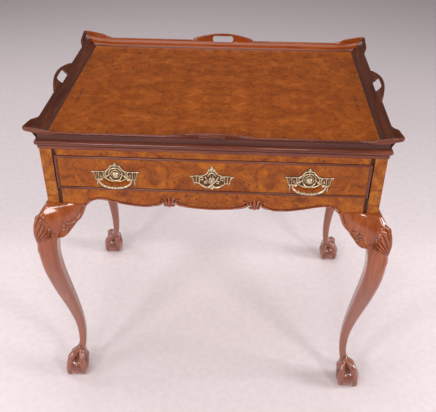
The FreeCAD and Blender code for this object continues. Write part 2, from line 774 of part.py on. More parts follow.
frontGlue = prismXY([(runnerOuter, -postInnerY), (runnerOuter, -glueFace), (postInnerX - 18, innerFrontY),
                     (postInnerX, innerFrontY), (postInnerX, -postInnerY)], glueLow, glueTop)
glueBlocks += [frontGlue, mirroredX(frontGlue)]

# ---------------------------------------------------------- top and tray
topBoard = box(-halfWidth + baseBeadInset, halfWidth - baseBeadInset, -halfDepth + baseBeadInset,
               halfDepth - baseBeadInset, friezeTop, boardTop)
trayPanel = box(-halfWidth + galleryInset, halfWidth - galleryInset, -halfDepth + galleryInset,
                halfDepth - galleryInset, boardTop, traySurface)
galleryLong = makeGallery(halfWidth, halfDepth)
galleryShort = makeGallery(halfDepth, halfWidth)
beadLong = makeBaseBead(halfWidth, halfDepth)
beadShort = makeBaseBead(halfDepth, halfWidth)
sideTurns = (("front", 0), ("right", 90), ("back", 180), ("left", 270))
for side, degrees in sideTurns:
    long = degrees % 180 == 0
    save("gallery_" + side, turned(galleryLong if long else galleryShort, degrees))
    save("base_bead_" + side, turned(beadLong if long else beadShort, degrees))


def woodScrew(x, y, z0, length):
    # countersunk, driven upwards, head at z0
    head = Part.makeCone(3.6, 1.8, 2.4, Vec(x, y, z0))
    return joined([head, Part.makeCylinder(1.8, length, Vec(x, y, z0), Vec(0, 0, 1))])


screwLength = 26.0
screwX = 308.0
screwY = 180.0
railScrewX = 200.0
topScrews = [woodScrew(x, y, openingTop, screwLength)
             for x in (-screwX, screwX) for y in (-screwY, 0.0, screwY)]
topScrews += [woodScrew(x, -halfDepth + railDepth / 2, openingTop, screwLength)
              for x in (-railScrewX, railScrewX)]
kickers = bothSides(kicker)
for screw in topScrews:
    kickers = [shape.cut(screw) for shape in kickers]
    topRail = topRail.cut(screw)
    topBoard = topBoard.cut(screw)

# ---------------------------------------------------------------- drawer
frontBack = -drawerFace + frontThickness
beadBack = -drawerFace + beadDepth


def frontFrame(inset, y0, y1):
    return box(-drawerHalf + inset, drawerHalf - inset, y0, y1, drawerBottom + inset, drawerTop - inset)


drawerFront = frontFrame(0, -drawerFace, frontBack)
beadSeat = frontFrame(0, -drawerFace - 1, beadBack).cut(frontFrame(beadWidth, -drawerFace - 2, beadBack + 1))
drawerFront = drawerFront.cut(beadSeat)


def cockBead(length, turn, distance):
    # a strip with a rounded nose and mitred ends, drawn along the top edge
    y0 = -drawerFace - beadProud
    nose = beadNose
    edges = [
        Part.Arc(Vec(-length, y0 + nose, 0), Vec(-length, y0, -beadWidth / 2),
                 Vec(-length, y0 + nose, -beadWidth)).toShape(),
        line(Vec(-length, y0 + nose, -beadWidth), Vec(-length, beadBack, -beadWidth)),
        line(Vec(-length, beadBack, -beadWidth), Vec(-length, beadBack, 0)),
        line(Vec(-length, beadBack, 0), Vec(-length, y0 + nose, 0)),
    ]
    bar = Part.Face(Part.Wire(edges)).extrude(Vec(2 * length, 0, 0))
    mitre = [(-length, 0), (length, 0), (length - beadWidth, -beadWidth), (-length + beadWidth, -beadWidth)]
    bar = bar.common(prismXZ(mitre, y0 - 1, beadBack + 1))
    bar.translate(Vec(0, 0, distance))
    bar.rotate(Vec(0, 0, 0), Vec(0, 1, 0), turn)
    bar.translate(Vec(0, 0, (drawerBottom + drawerTop) / 2))
    return bar


drawerHalfHeight = (drawerTop - drawerBottom) / 2
save("cock_bead_top", cockBead(drawerHalf, 0, drawerHalfHeight))
save("cock_bead_bottom", cockBead(drawerHalf, 180, drawerHalfHeight))
save("cock_bead_right", cockBead(drawerHalfHeight, 90, drawerHalf))
save("cock_bead_left", cockBead(drawerHalfHeight, -90, drawerHalf))

# the sides join the front with lapped dovetails, three tails on each
tailLength = 9.0
tailPitch = (sideTop - drawerBottom) / 3


def dovetail(z):
    narrow = 7.0
    wide = 9.5
    points = [(frontBack, z - narrow), (frontBack, z + narrow),
              (frontBack - tailLength, z + wide), (frontBack - tailLength, z - wide)]
    outline = [Vec(drawerHalf - sideThickness, y, h) for y, h in points]
    face = Part.Face(Part.makePolygon(outline + outline[:1]))
    return face.extrude(Vec(sideThickness, 0, 0))


drawerInner = drawerHalf - sideThickness
sideBoard = box(drawerInner, drawerHalf, frontBack, drawerBackY, drawerBottom, sideTop)
tails = [dovetail(drawerBottom + tailPitch * (i + 0.5)) for i in range(3)]
sideBoard = joined([sideBoard] + tails)
drawerBottomBoard = box(-drawerInner - grooveDepth, drawerInner + grooveDepth, frontBack - grooveDepth,
                        drawerBackY, bottomLow, bottomLow + bottomThickness)
backHousing = 3.0
backSetIn = 6.0
drawerBackTop = 629.0
drawerBack = box(-drawerInner - backHousing, drawerInner + backHousing,
                 drawerBackY - backThickness - backSetIn, drawerBackY - backSetIn,
                 bottomLow + bottomThickness, drawerBackTop)
drawerFront = drawerFront.cut(sideBoard).cut(mirroredX(sideBoard)).cut(drawerBottomBoard)
sideRight = sideBoard.cut(drawerBottomBoard).cut(drawerBack)
sideLeft = mirroredX(sideRight)

# the brasses: each slot is its place across, its low and high end and its
# half width, measured from the plate's middle
plateSlots = [(38.6, -9.0, -1.0, 1.2), (32.6, -3.5, -0.5, 1.2), (22.0, -3.0, 0.5, 2.4),
              (15.5, -8.5, -6.5, 2.0)]
escutcheonSlots = [(28.8, -13.0, -6.0, 1.5), (21.4, -8.5, -5.0, 1.6), (15.0, -19.0, -16.5, 2.2),
                   (9.5, -6.0, -2.0, 1.8)]


def pierced(plate, x, slots):
    for across, low, high, half in slots:
        for side in (-1, 1):
            plate = plate.cut(uprightSlot(x + side * across, plateZ + low, plateZ + high, half))
    return plate


plates = {}
for name, x in (("left", -handleX), ("right", handleX)):
    plate = pierced(plateBlank(plateOutline, x), x, plateSlots)
    plates[name] = joined([plate, dome(x, plateZ - 2.0, 8.0, 4.2)])
escutcheon = pierced(plateBlank(escutcheonOutline, 0.0), 0.0, escutcheonSlots)

keyZ = plateZ + 4.0
keyhole = joined([
    roundHole(0.0, keyZ, 2.3),
    box(-1.0, 1.0, -drawerFace - 40, -drawerFace + 20, keyZ - 7.0, keyZ),
])
escutcheon = escutcheon.cut(keyhole)
drawerFront = drawerFront.cut(keyhole)

posts = bailPosts(-handleX) + bailPosts(handleX)
nuts = bailNuts(-handleX) + bailNuts(handleX)
for post in posts:
    drawerFront = drawerFront.cut(post)
    for name in plates:
        plates[name] = plates[name].cut(post)

# small pins hold the plates to the drawer front
plateFront = -drawerFace - plateThickness
pinPlaces = [(x + side * 44.6, plateZ + 3.2) for x in (-handleX, handleX) for side in (-1, 1)]
pinPlaces += [(side * 39.0, plateZ - 0.9) for side in (-1, 1)]
platePins = []
for x, z in pinPlaces:
    shank = Part.makeCylinder(0.7, 9.0, Vec(x, plateFront, z), Vec(0, 1, 0))
    head = Part.makeSphere(1.3, Vec(x, plateFront, z))
    head = head.common(box(x - 3, x + 3, plateFront - 3, plateFront, z - 3, z + 3))
    pin = joined([shank, head])
    platePins.append(pin)
    drawerFront = drawerFront.cut(pin)
    escutcheon = escutcheon.cut(pin)
    for name in plates:
        plates[name] = plates[name].cut(pin)

# the lock is let into the back of the drawer front, and its bolt rises into
# a mortise in the top rail
lockHalf = 24.0
lockLow = 584.0
lockHigh = 630.0
lockDepth = 7.0
lockScrewX = 20.0
lockScrewRows = (588.0, 626.0)
boltLow = 609.0
boltHalf = 8.0
boltRise = 6.5
boltFront = frontBack - 5.0
boltBack = frontBack - 2.0
boltPlay = 0.35
lockBody = box(-lockHalf, lockHalf, frontBack - lockDepth, frontBack, lockLow, lockHigh)
boltWay = box(-boltHalf - boltPlay, boltHalf + boltPlay, boltFront - boltPlay, boltBack + boltPlay,
              boltLow - 1, drawerTop + 1)
lockBolt = box(-boltHalf, boltHalf, boltFront, boltBack, boltLow, drawerTop - 0.4)
keyWay = box(-1.2, 1.2, frontBack - lockDepth - 1, boltFront - boltPlay, keyZ - 7.0, keyZ + 2.4)
drawerFront = drawerFront.cut(lockBody).cut(boltWay)
lockCase = lockBody.cut(boltWay).cut(keyWay)
lockScrews = []
for x, z in [(side * lockScrewX, z) for z in lockScrewRows for side in (-1, 1)]:
    screw = joined([
        Part.makeCone(1.4, 2.6, 1.8, Vec(x, frontBack - 1.8, z), Vec(0, 1, 0)),
        Part.makeCylinder(1.4, 11.0, Vec(x, frontBack - 11.0, z), Vec(0, 1, 0)),
    ])
    lockScrews.append(screw)
    lockCase = lockCase.cut(screw)
    drawerFront = drawerFront.cut(screw)
boltMortise = box(-boltHalf - 1.0, boltHalf + 1.0, boltFront - 0.9, boltBack + 0.9, openingTop - 1,
                  drawerTop + boltRise + 1.0)
topRail = topRail.cut(boltMortise)

# the boards' tenons go into the posts
for name in corners:
    for board in (frontApron, topRail, backPanel, panelRight, panelLeft):
        legs[name] = legs[name].cut(board)
    save("leg_" + name, legs[name])
    save("post_facing_" + name, facings[name])

save("front_apron", frontApron)
save("front_top_rail", topRail)
save("back_panel", backPanel)
save("side_panel_right", panelRight)
save("side_panel_left", panelLeft)
save("drawer_runners", Part.Compound(bothSides(runner)))
save("drawer_guides", Part.Compound(bothSides(guide)))
save("drawer_kickers", Part.Compound(kickers))
save("glue_and_stop_blocks", Part.Compound(glueBlocks + bothSides(stop)))
save("top_board", topBoard)
save("tray_panel", trayPanel)
save("top_screws", Part.Compound(topScrews))
save("drawer_front", drawerFront)
save("drawer_side_right", sideRight)
save("drawer_side_left", sideLeft)
save("drawer_back", drawerBack)
save("drawer_bottom", drawerBottomBoard)
save("handle_plate_left", plates["left"])
save("handle_plate_right", plates["right"])
save("handle_posts", Part.Compound(posts))
save("handle_nuts", Part.Compound(nuts))
save("escutcheon", escutcheon)
save("brass_pins_and_screws", Part.Compound(platePins + lockScrews))
save("lock_case", lockCase)
save("lock_bolt", lockBolt)
save("bail_left", makeBail(-handleX))
save("bail_right", makeBail(handleX))
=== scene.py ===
import math
import bpy
import numpy as np
from mathutils import Matrix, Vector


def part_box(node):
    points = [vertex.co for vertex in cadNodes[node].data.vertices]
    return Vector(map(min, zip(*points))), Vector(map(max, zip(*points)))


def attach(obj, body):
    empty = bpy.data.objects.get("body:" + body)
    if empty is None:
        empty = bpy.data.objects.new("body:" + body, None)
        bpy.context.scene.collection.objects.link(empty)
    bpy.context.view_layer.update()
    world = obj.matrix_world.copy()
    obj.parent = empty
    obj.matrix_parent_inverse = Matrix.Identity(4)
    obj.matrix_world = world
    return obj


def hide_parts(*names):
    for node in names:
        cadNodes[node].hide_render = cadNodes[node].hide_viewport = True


# Tray top tea table in walnut and burr walnut, with brass swing handles.
# Shapes are worked out in millimetres and go into the meshes in metres.

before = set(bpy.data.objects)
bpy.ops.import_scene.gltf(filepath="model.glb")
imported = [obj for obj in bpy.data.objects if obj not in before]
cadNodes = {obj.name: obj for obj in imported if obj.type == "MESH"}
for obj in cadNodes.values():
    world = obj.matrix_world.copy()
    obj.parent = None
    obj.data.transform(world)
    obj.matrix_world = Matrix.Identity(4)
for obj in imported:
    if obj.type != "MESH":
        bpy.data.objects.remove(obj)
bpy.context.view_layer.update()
mm = 0.001
print("frame loaded:", len(cadNodes), "nodes")


def cornerOf(node, end):
    return np.array(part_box(node)[end]) / mm


case = {
    "halfX": -cornerOf("post_facing_front_left", 0)[0],
    "halfY": -cornerOf("post_facing_front_left", 0)[1],
    "friezeTop": cornerOf("post_facing_front_left", 1)[2],
    "boardTop": cornerOf("top_board", 1)[2],
    "traySurface": cornerOf("tray_panel", 1)[2],
    "kneeLine": 522.5,
    "postSize": 25.0,
    "facing": 1.0,
    "channelX": 315.1,  # the channel between the posts and the front's rails, darkened there as painted shade
}
drawerFace = -cornerOf("drawer_front", 0)[1]


# mesh tools

def gridQuads(index):
    # the quads between neighbours in a grid of point numbers
    return np.stack([index[:-1, :-1], index[1:, :-1], index[1:, 1:], index[:-1, 1:]], -1)


def endFans(index, first):
    # triangles that close a tube's two ends, each round its own middle point
    beside = np.roll(index, -1, axis=1)
    middle = np.full(index.shape[1], first)
    return np.concatenate([np.stack([index[0], beside[0], middle], -1),
                           np.stack([beside[-1], index[-1], middle + 1], -1)])


def shell(points, quads, triangles=None, recess=None):
    # one closed surface, its faces turned outwards by the sign of its volume,
    # and how dark each point is painted in hollows and creases, from 0 on the
    # high points to 1: painted shade on the wood, patina on the brass
    points = np.asarray(points, float).reshape(-1, 3)
    triangles = np.zeros((0, 3), int) if triangles is None else triangles
    fans = np.concatenate([quads[:, :3], quads[:, [0, 2, 3]], triangles])
    a, b, c = (points[fans[:, i]] for i in range(3))
    if np.einsum("ij,ij->i", a, np.cross(b, c)).sum() < 0:
        quads, triangles = quads[:, ::-1], triangles[:, ::-1]
    recess = np.zeros(len(points)) if recess is None else np.asarray(recess, float)
    return points, quads, triangles, recess


def tube(rings, recess=0.0):
    # rings of points one after another, joined by quads, each end closed by a
    # fan to its middle; one row of recess serves for every ring
    count, around = rings.shape[:2]
    index = np.arange(count * around).reshape(count, around)
    quads = gridQuads(np.concatenate([index, index[:, :1]], 1)).reshape(-1, 4)
    points = np.concatenate([rings.reshape(-1, 3), rings[:1].mean(1), rings[-1:].mean(1)])
    depth = np.broadcast_to(recess, (count, around)).reshape(-1)
    depth = np.concatenate([depth, depth[:1], depth[-1:]])
    return shell(points, quads, endFans(index, count * around), depth)


def slab(front, back, recess):
    # two grids of points with a wall round their shared border
    size = recess.size
    index = np.arange(size).reshape(recess.shape)
    face = gridQuads(index).reshape(-1, 4)
    ring = np.concatenate([index[:, 0], index[-1, 1:], index[-2::-1, -1], index[0, -2:0:-1]])
    after = np.roll(ring, -1)
    wall = np.stack([after, ring, ring + size, after + size], -1)
    points = np.concatenate([front.reshape(-1, 3), back.reshape(-1, 3)])
    quads = np.concatenate([face, face[:, ::-1] + size, wall])
    return shell(points, quads, None, np.tile(recess.reshape(-1), 2))


def stacked(*parts):
    # coordinates of any matching shapes side by side in a last axis
    return np.stack(np.broadcast_arrays(*parts), -1)


def fullTurn(count):
    # even steps round a circle, in one row
    return np.linspace(0, 2 * math.pi, count, endpoint=False)[None, :]


def globe(centre, radii, rows=12, columns=20):
    # an ellipsoid: sin and cos of latitude and longitude
    tall, turn = np.linspace(0, math.pi, rows + 1)[1:-1, None], fullTurn(columns)
    unit = stacked(np.sin(tall) * np.cos(turn), np.sin(tall) * np.sin(turn), np.cos(tall))
    return tube(np.array(centre) + unit * np.array(radii))


def placed(one, degrees=0.0, move=(0, 0, 0), acrossDiagonal=False):
    # a shell turned about Z and moved; the mirror swaps its X and Y
    points, quads, triangles, recess = one
    if acrossDiagonal:
        points = points[:, [1, 0, 2]]
    a = math.radians(degrees)
    turn = np.array([[math.cos(a), -math.sin(a), 0], [math.sin(a), math.cos(a), 0], [0, 0, 1]])
    return shell(points @ turn.T + np.array(move, float), quads, triangles, recess)


def newObject(name, data):
    item = bpy.data.objects.new(name, data)
    bpy.context.scene.collection.objects.link(item)
    return item


def newPiece(name, shells, material, body, replaced, sharpAngle):
    # shells become one mesh; edges sharper than the angle stay crisp
    offsets = np.cumsum([0] + [len(one[0]) for one in shells])
    quads = np.concatenate([one[1] + first for one, first in zip(shells, offsets)])
    triangles = np.concatenate([one[2] + first for one, first in zip(shells, offsets)])
    corners = np.concatenate([quads.ravel(), triangles.ravel()])
    starts = np.concatenate([np.arange(len(quads)) * 4,
                             len(quads) * 4 + np.arange(len(triangles)) * 3])
    mesh = bpy.data.meshes.new(name)
    mesh.vertices.add(offsets[-1])
    mesh.vertices.foreach_set("co", np.concatenate([one[0] for one in shells]).ravel() * mm)
    mesh.loops.add(len(corners))
    mesh.loops.foreach_set("vertex_index", corners.astype(np.int32))
    mesh.polygons.add(len(starts))
    mesh.polygons.foreach_set("loop_start", starts.astype(np.int32))
    mesh.update(calc_edges=True)
    mesh.validate()
    mesh.polygons.foreach_set("use_smooth", np.ones(len(mesh.polygons), bool))
    mesh.set_sharp_from_angle(angle=math.radians(sharpAngle))
    depth = mesh.attributes.new("recess", "FLOAT", "POINT")
    depth.data.foreach_set("value", np.concatenate([one[3] for one in shells]).astype(np.float32))
    mesh.materials.append(material)
    piece = newObject(name, mesh)
    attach(piece, body)
    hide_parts(*replaced)


def splineWeights(knots, at):
    # a natural cubic through values at the knots is linear in those values:
    # these are the weights, one row for each place asked for
    knots = np.asarray(knots, float)
    at = np.clip(np.asarray(at, float), knots[0], knots[-1])
    count = len(knots)
    gaps = np.diff(knots)
    bends = np.eye(count)
    source = np.zeros((count, count))
    for i in range(1, count - 1):
        bends[i, i - 1:i + 2] = gaps[i - 1], 2 * (gaps[i - 1] + gaps[i]), gaps[i]
        source[i, i - 1:i + 2] = 6 / gaps[i - 1], -6 / gaps[i - 1] - 6 / gaps[i], 6 / gaps[i]
    curvature = np.linalg.solve(bends, source)
    k = np.clip(np.searchsorted(knots, at, side="right") - 1, 0, count - 2)
    span = gaps[k]
    high = (at - knots[k]) / span
    low = 1 - high
    unit = np.eye(count)
    weights = low[:, None] * unit[k] + high[:, None] * unit[k + 1]
    weights += ((low ** 3 - low) * span ** 2 / 6)[:, None] * curvature[k]
    weights += ((high ** 3 - high) * span ** 2 / 6)[:, None] * curvature[k + 1]
    return weights


def splineAt(points, share):
    # a smooth line through (place, value) pairs, read at each share
    table = np.array(points)
    return (splineWeights(table[:, 0], share.reshape(-1)) @ table[:, 1]).reshape(share.shape)


def lengthAlong(points):
    # how far along its straight sides each point of a line lies
    return np.concatenate([[0], np.cumsum(np.linalg.norm(np.diff(points, axis=0), axis=1))])


def curveThrough(points, count):
    # a cubic through the points by their chord lengths, evenly sampled
    points = np.asarray(points, float)
    chord = lengthAlong(points)
    dense = splineWeights(chord, np.linspace(0, chord[-1], 400)) @ points
    length = lengthAlong(dense)
    wanted = np.linspace(0, length[-1], count)
    return np.stack([np.interp(wanted, length, dense[:, i]) for i in range(points.shape[1])], -1)


def normals2(path):
    # unit normals of a line in a plane, to its left
    tangent = np.gradient(path, axis=0)
    tangent /= np.linalg.norm(tangent, axis=1, keepdims=True)
    return np.stack([-tangent[:, 1], tangent[:, 0]], -1)


def smooth(t):
    # 0 below 0, 1 above 1, and a soft step between
    t = np.clip(t, 0, 1)
    return t * t * (3 - 2 * t)


def spreadOver(values, count):
    # a few values spread evenly over a longer row
    return np.interp(np.linspace(0, 1, count), np.linspace(0, 1, len(values)), values)


def ovalStrand(points, widths, heights, face, count=26, sides=14):
    # an oval section carried along a line in the XZ plane, with its middle
    # on the face, so that half of it stands proud
    path, turn = curveThrough(points, count), fullTurn(sides)
    across = spreadOver(widths, count)[:, None] * np.cos(turn)
    side = normals2(path)
    x = path[:, :1] + side[:, :1] * across
    z = path[:, 1:] + side[:, 1:] * across
    y = face - spreadOver(heights, count)[:, None] * np.sin(turn)
    # painted shade: the strand darkens towards its foot on the face and over its hidden half
    return tube(stacked(x, y, z), 1 - smooth(1.3 * np.clip(np.sin(turn), 0, 1)))


# materials

def linearColour(hexText):
    # sRGB to linear light: c / 12.92 near black, ((c + 0.055) / 1.055)^2.4 above
    parts = np.array([int(hexText[i:i + 2], 16) for i in (1, 3, 5)]) / 255
    light = np.where(parts <= 0.04045, parts / 12.92, ((parts + 0.055) / 1.055) ** 2.4)
    return (*light.tolist(), 1.0)


def addNode(tree, kind, inputs=(), **settings):
    # a node with its settings; each input, known by its name or its place,
    # takes a value, a socket's link or the link of another node's first output
    node = tree.nodes.new("ShaderNode" + kind)
    for key, value in settings.items():
        setattr(node, key, value)
    for key, value in inputs.items() if isinstance(inputs, dict) else enumerate(inputs):
        if isinstance(value, bpy.types.Node):
            value = value.outputs[0]
        if isinstance(value, bpy.types.NodeSocket):
            tree.links.new(value, node.inputs[key])
        else:
            node.inputs[key].default_value = value
    return node


def startMaterial(name):
    material = bpy.data.materials.new(name)
    material.use_nodes = True
    tree = material.node_tree
    tree.nodes.clear()
    return material, tree, addNode(tree, "TexCoord").outputs["Object"]


def setRamp(node, stops):
    ramp = node.color_ramp
    while len(ramp.elements) < len(stops):
        ramp.elements.new(0.5)
    for element, (place, colour) in zip(ramp.elements, stops):
        element.position = place
        element.color = linearColour(colour)
    return node


def drawnOut(across, along, axis):
    # a pattern's scales, so that its grain runs long on one axis
    return [along if i == axis else across for i in range(3)]


burrTones = {
    "clouds": [(0.28, "#7a390d"), (0.5, "#964811"), (0.74, "#b15e1c")],
    "depth": 0.16,  # how much the fine figure darkens and lightens
    "dark": 0.30,  # the most that a dark streak covers
    "knot": "#3a1509",
    "pip": "#3f190a",
    "eye": "#a4602a",
    "streak": "#5e270f",
    # painted shade for the channel beside the posts
    "channel": "#26120b",
}


def makeBurrWalnut(name, seam, tones, streakAxis=0, cloudSize=46.0, knotPitch=24.0, channelX=None,
                   cut=0.0):
    # burr walnut veneer: leaves matched like a mirror on both sides of their
    # seams, swirling grain, dark pips and small knots with pale rims, under a
    # hand-rubbed gloss polish
    material, tree, place = startMaterial(name)
    shifted = addNode(tree, "VectorMath", [place, [s * mm for s in seam]], operation="SUBTRACT")
    leaf = addNode(tree, "VectorMath", [shifted], operation="ABSOLUTE")
    drift = addNode(tree, "TexNoise", {"Vector": leaf, "Scale": 11.0, "Detail": 3.0,
                                       "Roughness": 0.5})
    # the cut says how deep in the burr the leaves were sliced
    centred = addNode(tree, "VectorMath", [drift.outputs["Color"], (0.5, 0.5, 0.5 - cut)],
                      operation="SUBTRACT")
    swirl = addNode(tree, "VectorMath", [centred, (0.07, 0.07, 0.07), leaf],
                    operation="MULTIPLY_ADD")
    cloud = addNode(tree, "TexNoise", {"Vector": swirl, "Scale": 1000 / cloudSize, "Detail": 6.0,
                                       "Roughness": 0.62, "Distortion": 0.6})
    ground = setRamp(addNode(tree, "ValToRGB", [cloud]), tones["clouds"])
    # fine figure: thin curling lines a few millimetres apart
    figure = addNode(tree, "TexNoise", {"Vector": swirl, "Scale": 95.0, "Detail": 7.0,
                                        "Roughness": 0.66, "Distortion": 1.6})
    shade = addNode(tree, "MapRange", [figure, 0.3, 0.7, 1 - tones["depth"], 1 + tones["depth"]])
    finished = addNode(tree, "VectorMath", {0: ground, "Scale": shade}, operation="SCALE")
    # long faint streaks of darker growth
    long = addNode(tree, "VectorMath", [swirl, drawnOut(34.0, 5.0, streakAxis)],
                   operation="MULTIPLY")
    streak = addNode(tree, "TexNoise", {"Vector": long, "Scale": 1.0, "Detail": 4.0,
                                        "Roughness": 0.6, "Distortion": 0.8})
    layers = [("streak", addNode(tree, "MapRange", [streak, 0.46, 0.80, 0.0, tones["dark"]]))]
    # knots with a pale rim and a dark heart, then pips about 2 mm across, which
    # are thick in the clusters and few elsewhere; for each: cells to a metre,
    # how cells are chosen, how thick they stand, and each ring from the middle
    cluster = addNode(tree, "TexNoise", {"Vector": leaf, "Scale": 9.0, "Detail": 2.0})
    for scale, channel, choice, crowd, rings in (
            (1000 / knotPitch, "Red", (0.46, 0.56), (0.44, 0.6),
             {"eye": (0.16, 0.42, 0.5, 0.0), "knot": (0.05, 0.17, 0.85, 0.0)}),
            (135.0, "Green", (0.46, 0.54), (0.40, 0.58, 0.5, 1.0),
             {"pip": (0.14, 0.36, 0.85, 0.0)})):
        cells = addNode(tree, "TexVoronoi", {"Vector": swirl, "Scale": scale})
        tone = addNode(tree, "SeparateColor", [cells.outputs["Color"]])
        chosen = addNode(tree, "MapRange", [tone.outputs[channel], *choice])
        thick = addNode(tree, "MapRange", [cluster, *crowd])
        there = addNode(tree, "Math", [chosen, thick], operation="MULTIPLY")
        for tint, reach in rings.items():
            ring = addNode(tree, "MapRange", [cells, *reach])
            layers.append((tint, addNode(tree, "Math", [ring, there], operation="MULTIPLY")))
    if channelX:
        # painted shade: the channel beside the posts is darkened as the shadow in its groove
        across = addNode(tree, "SeparateXYZ", [place])
        across = addNode(tree, "Math", [across], operation="ABSOLUTE")
        aside = addNode(tree, "Math", [across, channelX * mm], operation="SUBTRACT")
        gap = addNode(tree, "Math", [aside], operation="ABSOLUTE")
        channelShade = addNode(tree, "MapRange", [gap, 4.6 * mm, 3.8 * mm, 0.0, 0.88])
        layers.append(("channel", channelShade))
    for tint, share in layers:
        finished = addNode(tree, "MixRGB", [share, finished, linearColour(tones[tint])])
    # the polish lies a little uneven over the figure
    sheen = addNode(tree, "MapRange", [cloud, 0.3, 0.7, 0.24, 0.34])
    ripple = addNode(tree, "Bump", {"Strength": 0.12, "Distance": 0.0004, "Height": figure})
    body = addNode(tree, "BsdfPrincipled",
                   {"Base Color": finished, "Roughness": sheen, "Normal": ripple, "IOR": 1.5,
                    "Specular IOR Level": 0.2, "Coat Weight": 0.18, "Coat Roughness": 0.1,
                    "Coat IOR": 1.5})
    addNode(tree, "OutputMaterial", [body])
    return material


def makePolishedWalnut(name, grainAxis, tones, polish=0.4, floorReflectionTone=None):
    # solid walnut, stained red brown, carved and polished: long straight grain
    # along the piece, open pores, and painted shade in the hollows; a floor
    # reflection tone, when given, paints the pale floor's reflection on the legs
    material, tree, place = startMaterial(name)
    broad = addNode(tree, "VectorMath", [place, drawnOut(70.0, 5.0, grainAxis)],
                    operation="MULTIPLY")
    fine = addNode(tree, "VectorMath", [place, drawnOut(1500.0, 90.0, grainAxis)],
                   operation="MULTIPLY")
    grain = addNode(tree, "TexNoise", {"Vector": broad, "Scale": 1.0, "Detail": 5.0,
                                       "Roughness": 0.6, "Distortion": 0.9})
    pores = addNode(tree, "TexNoise", {"Vector": fine, "Scale": 1.0, "Detail": 2.0,
                                       "Roughness": 0.5})
    ground = setRamp(addNode(tree, "ValToRGB", [grain]), tones)
    shade = addNode(tree, "MapRange", [pores, 0.3, 0.5, 0.78, 1.0])
    stained = addNode(tree, "VectorMath", {0: ground, "Scale": shade}, operation="SCALE")
    if floorReflectionTone:
        # painted reflection: below the knees the colour turns to a paler, pinker brown, the pale
        # floor's reflection painted in
        height = addNode(tree, "SeparateXYZ", [place]).outputs["Z"]
        fade = addNode(tree, "MapRange", [height, 0.44, 0.30, 0.0, 0.72])
        stained = addNode(tree, "MixRGB", [fade, stained, linearColour(floorReflectionTone)])
    # painted shade: the recess share darkens the colour towards #230f09 in the hollows and creases
    depth = addNode(tree, "Attribute", attribute_name="recess").outputs["Fac"]
    hollowShadeShare = addNode(tree, "MapRange", [depth, 0.15, 1.0, 0.0, 0.86])
    hollowShaded = addNode(tree, "MixRGB", [hollowShadeShare, stained, linearColour("#230f09")])
    dull = addNode(tree, "MapRange", [depth, 0.0, 1.0, 0.24, 0.5])
    relief = addNode(tree, "Bump", {"Strength": 0.1, "Distance": 0.0003, "Height": pores})
    body = addNode(tree, "BsdfPrincipled",
                   {"Base Color": hollowShaded, "Roughness": dull, "Normal": relief, "IOR": 1.5,
                    "Specular IOR Level": 0.26, "Coat Weight": polish, "Coat Roughness": 0.07,
                    "Coat IOR": 1.5})
    addNode(tree, "OutputMaterial", [body])
    return material


def makePlanedOak(name, grainAxis, tones):
    # plain planed oak, unpolished: pale straight grain with dark open pores
    material, tree, place = startMaterial(name)
    broad = addNode(tree, "VectorMath", [place, drawnOut(110.0, 6.0, grainAxis)],
                    operation="MULTIPLY")
    grain = addNode(tree, "TexNoise", {"Vector": broad, "Scale": 1.0, "Detail": 6.0,
                                       "Roughness": 0.65, "Distortion": 0.5})
    ground = setRamp(addNode(tree, "ValToRGB", [grain]), tones)
    relief = addNode(tree, "Bump", {"Strength": 0.25, "Distance": 0.0004, "Height": grain})
    body = addNode(tree, "BsdfPrincipled",
                   {"Base Color": ground, "Normal": relief, "IOR": 1.5, "Roughness": 0.62})
    addNode(tree, "OutputMaterial", [body])
    return material


def makeAgedBrass(name):
    # cast brass, never lacquered: brown patina in the hollows, rubbed to a
    # pale gold on the high points
    material, tree, place = startMaterial(name)
    mottle = addNode(tree, "TexNoise", {"Vector": place, "Scale": 260.0, "Detail": 4.0,
                                        "Roughness": 0.6})
    metal = setRamp(addNode(tree, "ValToRGB", [mottle]),
                    [(0.3, "#bda684"), (0.55, "#ddcaa8"), (0.8, "#f1e5cc")])
    depth = addNode(tree, "Attribute", attribute_name="recess").outputs["Fac"]
    patina = addNode(tree, "MixRGB", [depth, metal, linearColour("#553a2b")])
    dull = addNode(tree, "MapRange", {"Value": depth, "To Min": 0.3, "To Max": 0.62})
    relief = addNode(tree, "Bump", {"Strength": 0.2, "Distance": 0.0003, "Height": mottle})
    body = addNode(tree, "BsdfPrincipled", {"Base Color": patina, "Roughness": dull,
                                            "Normal": relief, "Metallic": 0.92})
    addNode(tree, "OutputMaterial", [body])
    return material


def makeDrawnSteel(name):
    # drawn steel of screws and the lock's bolt, a little grey with age
    material, tree, place = startMaterial(name)
    mottle = addNode(tree, "TexNoise", {"Vector": place, "Scale": 400.0, "Detail": 3.0})
    metal = setRamp(addNode(tree, "ValToRGB", [mottle]), [(0.35, "#6f6c68"), (0.65, "#96938e")])
    body = addNode(tree, "BsdfPrincipled", {"Base Color": metal, "Metallic": 1.0,
                                            "Roughness": 0.42})
    addNode(tree, "OutputMaterial", [body])
    return material


legTones = [(0.3, "#7a3616"), (0.52, "#974920"), (0.75, "#b05e2c")]
galleryTones = [(0.3, "#742a07"), (0.52, "#8b3b09"), (0.75, "#9f4a12")]
# painted shade: darker copies of the gallery's walnut, for the front gallery, whose hollow faces
# down, darker in its polish as well, and for the sides, whose inner faces turn from the light
frontShadeTones = [(0.3, "#512416"), (0.52, "#6b3220"), (0.75, "#824330")]
sideShadeTones = [(0.3, "#3f1c11"), (0.52, "#552818"), (0.75, "#6d3823")]
beadTones = [(0.3, "#54271b"), (0.52, "#6d3626"), (0.75, "#854a35")]
oakTones = [(0.3, "#8d6c41"), (0.5, "#ab8653"), (0.75, "#c09c69")]
friezeTones = dict(burrTones, clouds=[(0.30, "#703405"), (0.5, "#944907"), (0.70, "#b06411")],
                   depth=0.34, dark=0.5, pip="#35160a")
postTones = dict(burrTones, clouds=[(0.30, "#783709"), (0.5, "#9b5312"), (0.70, "#b47026")],
                 depth=0.40, dark=0.55, pip="#35160a")

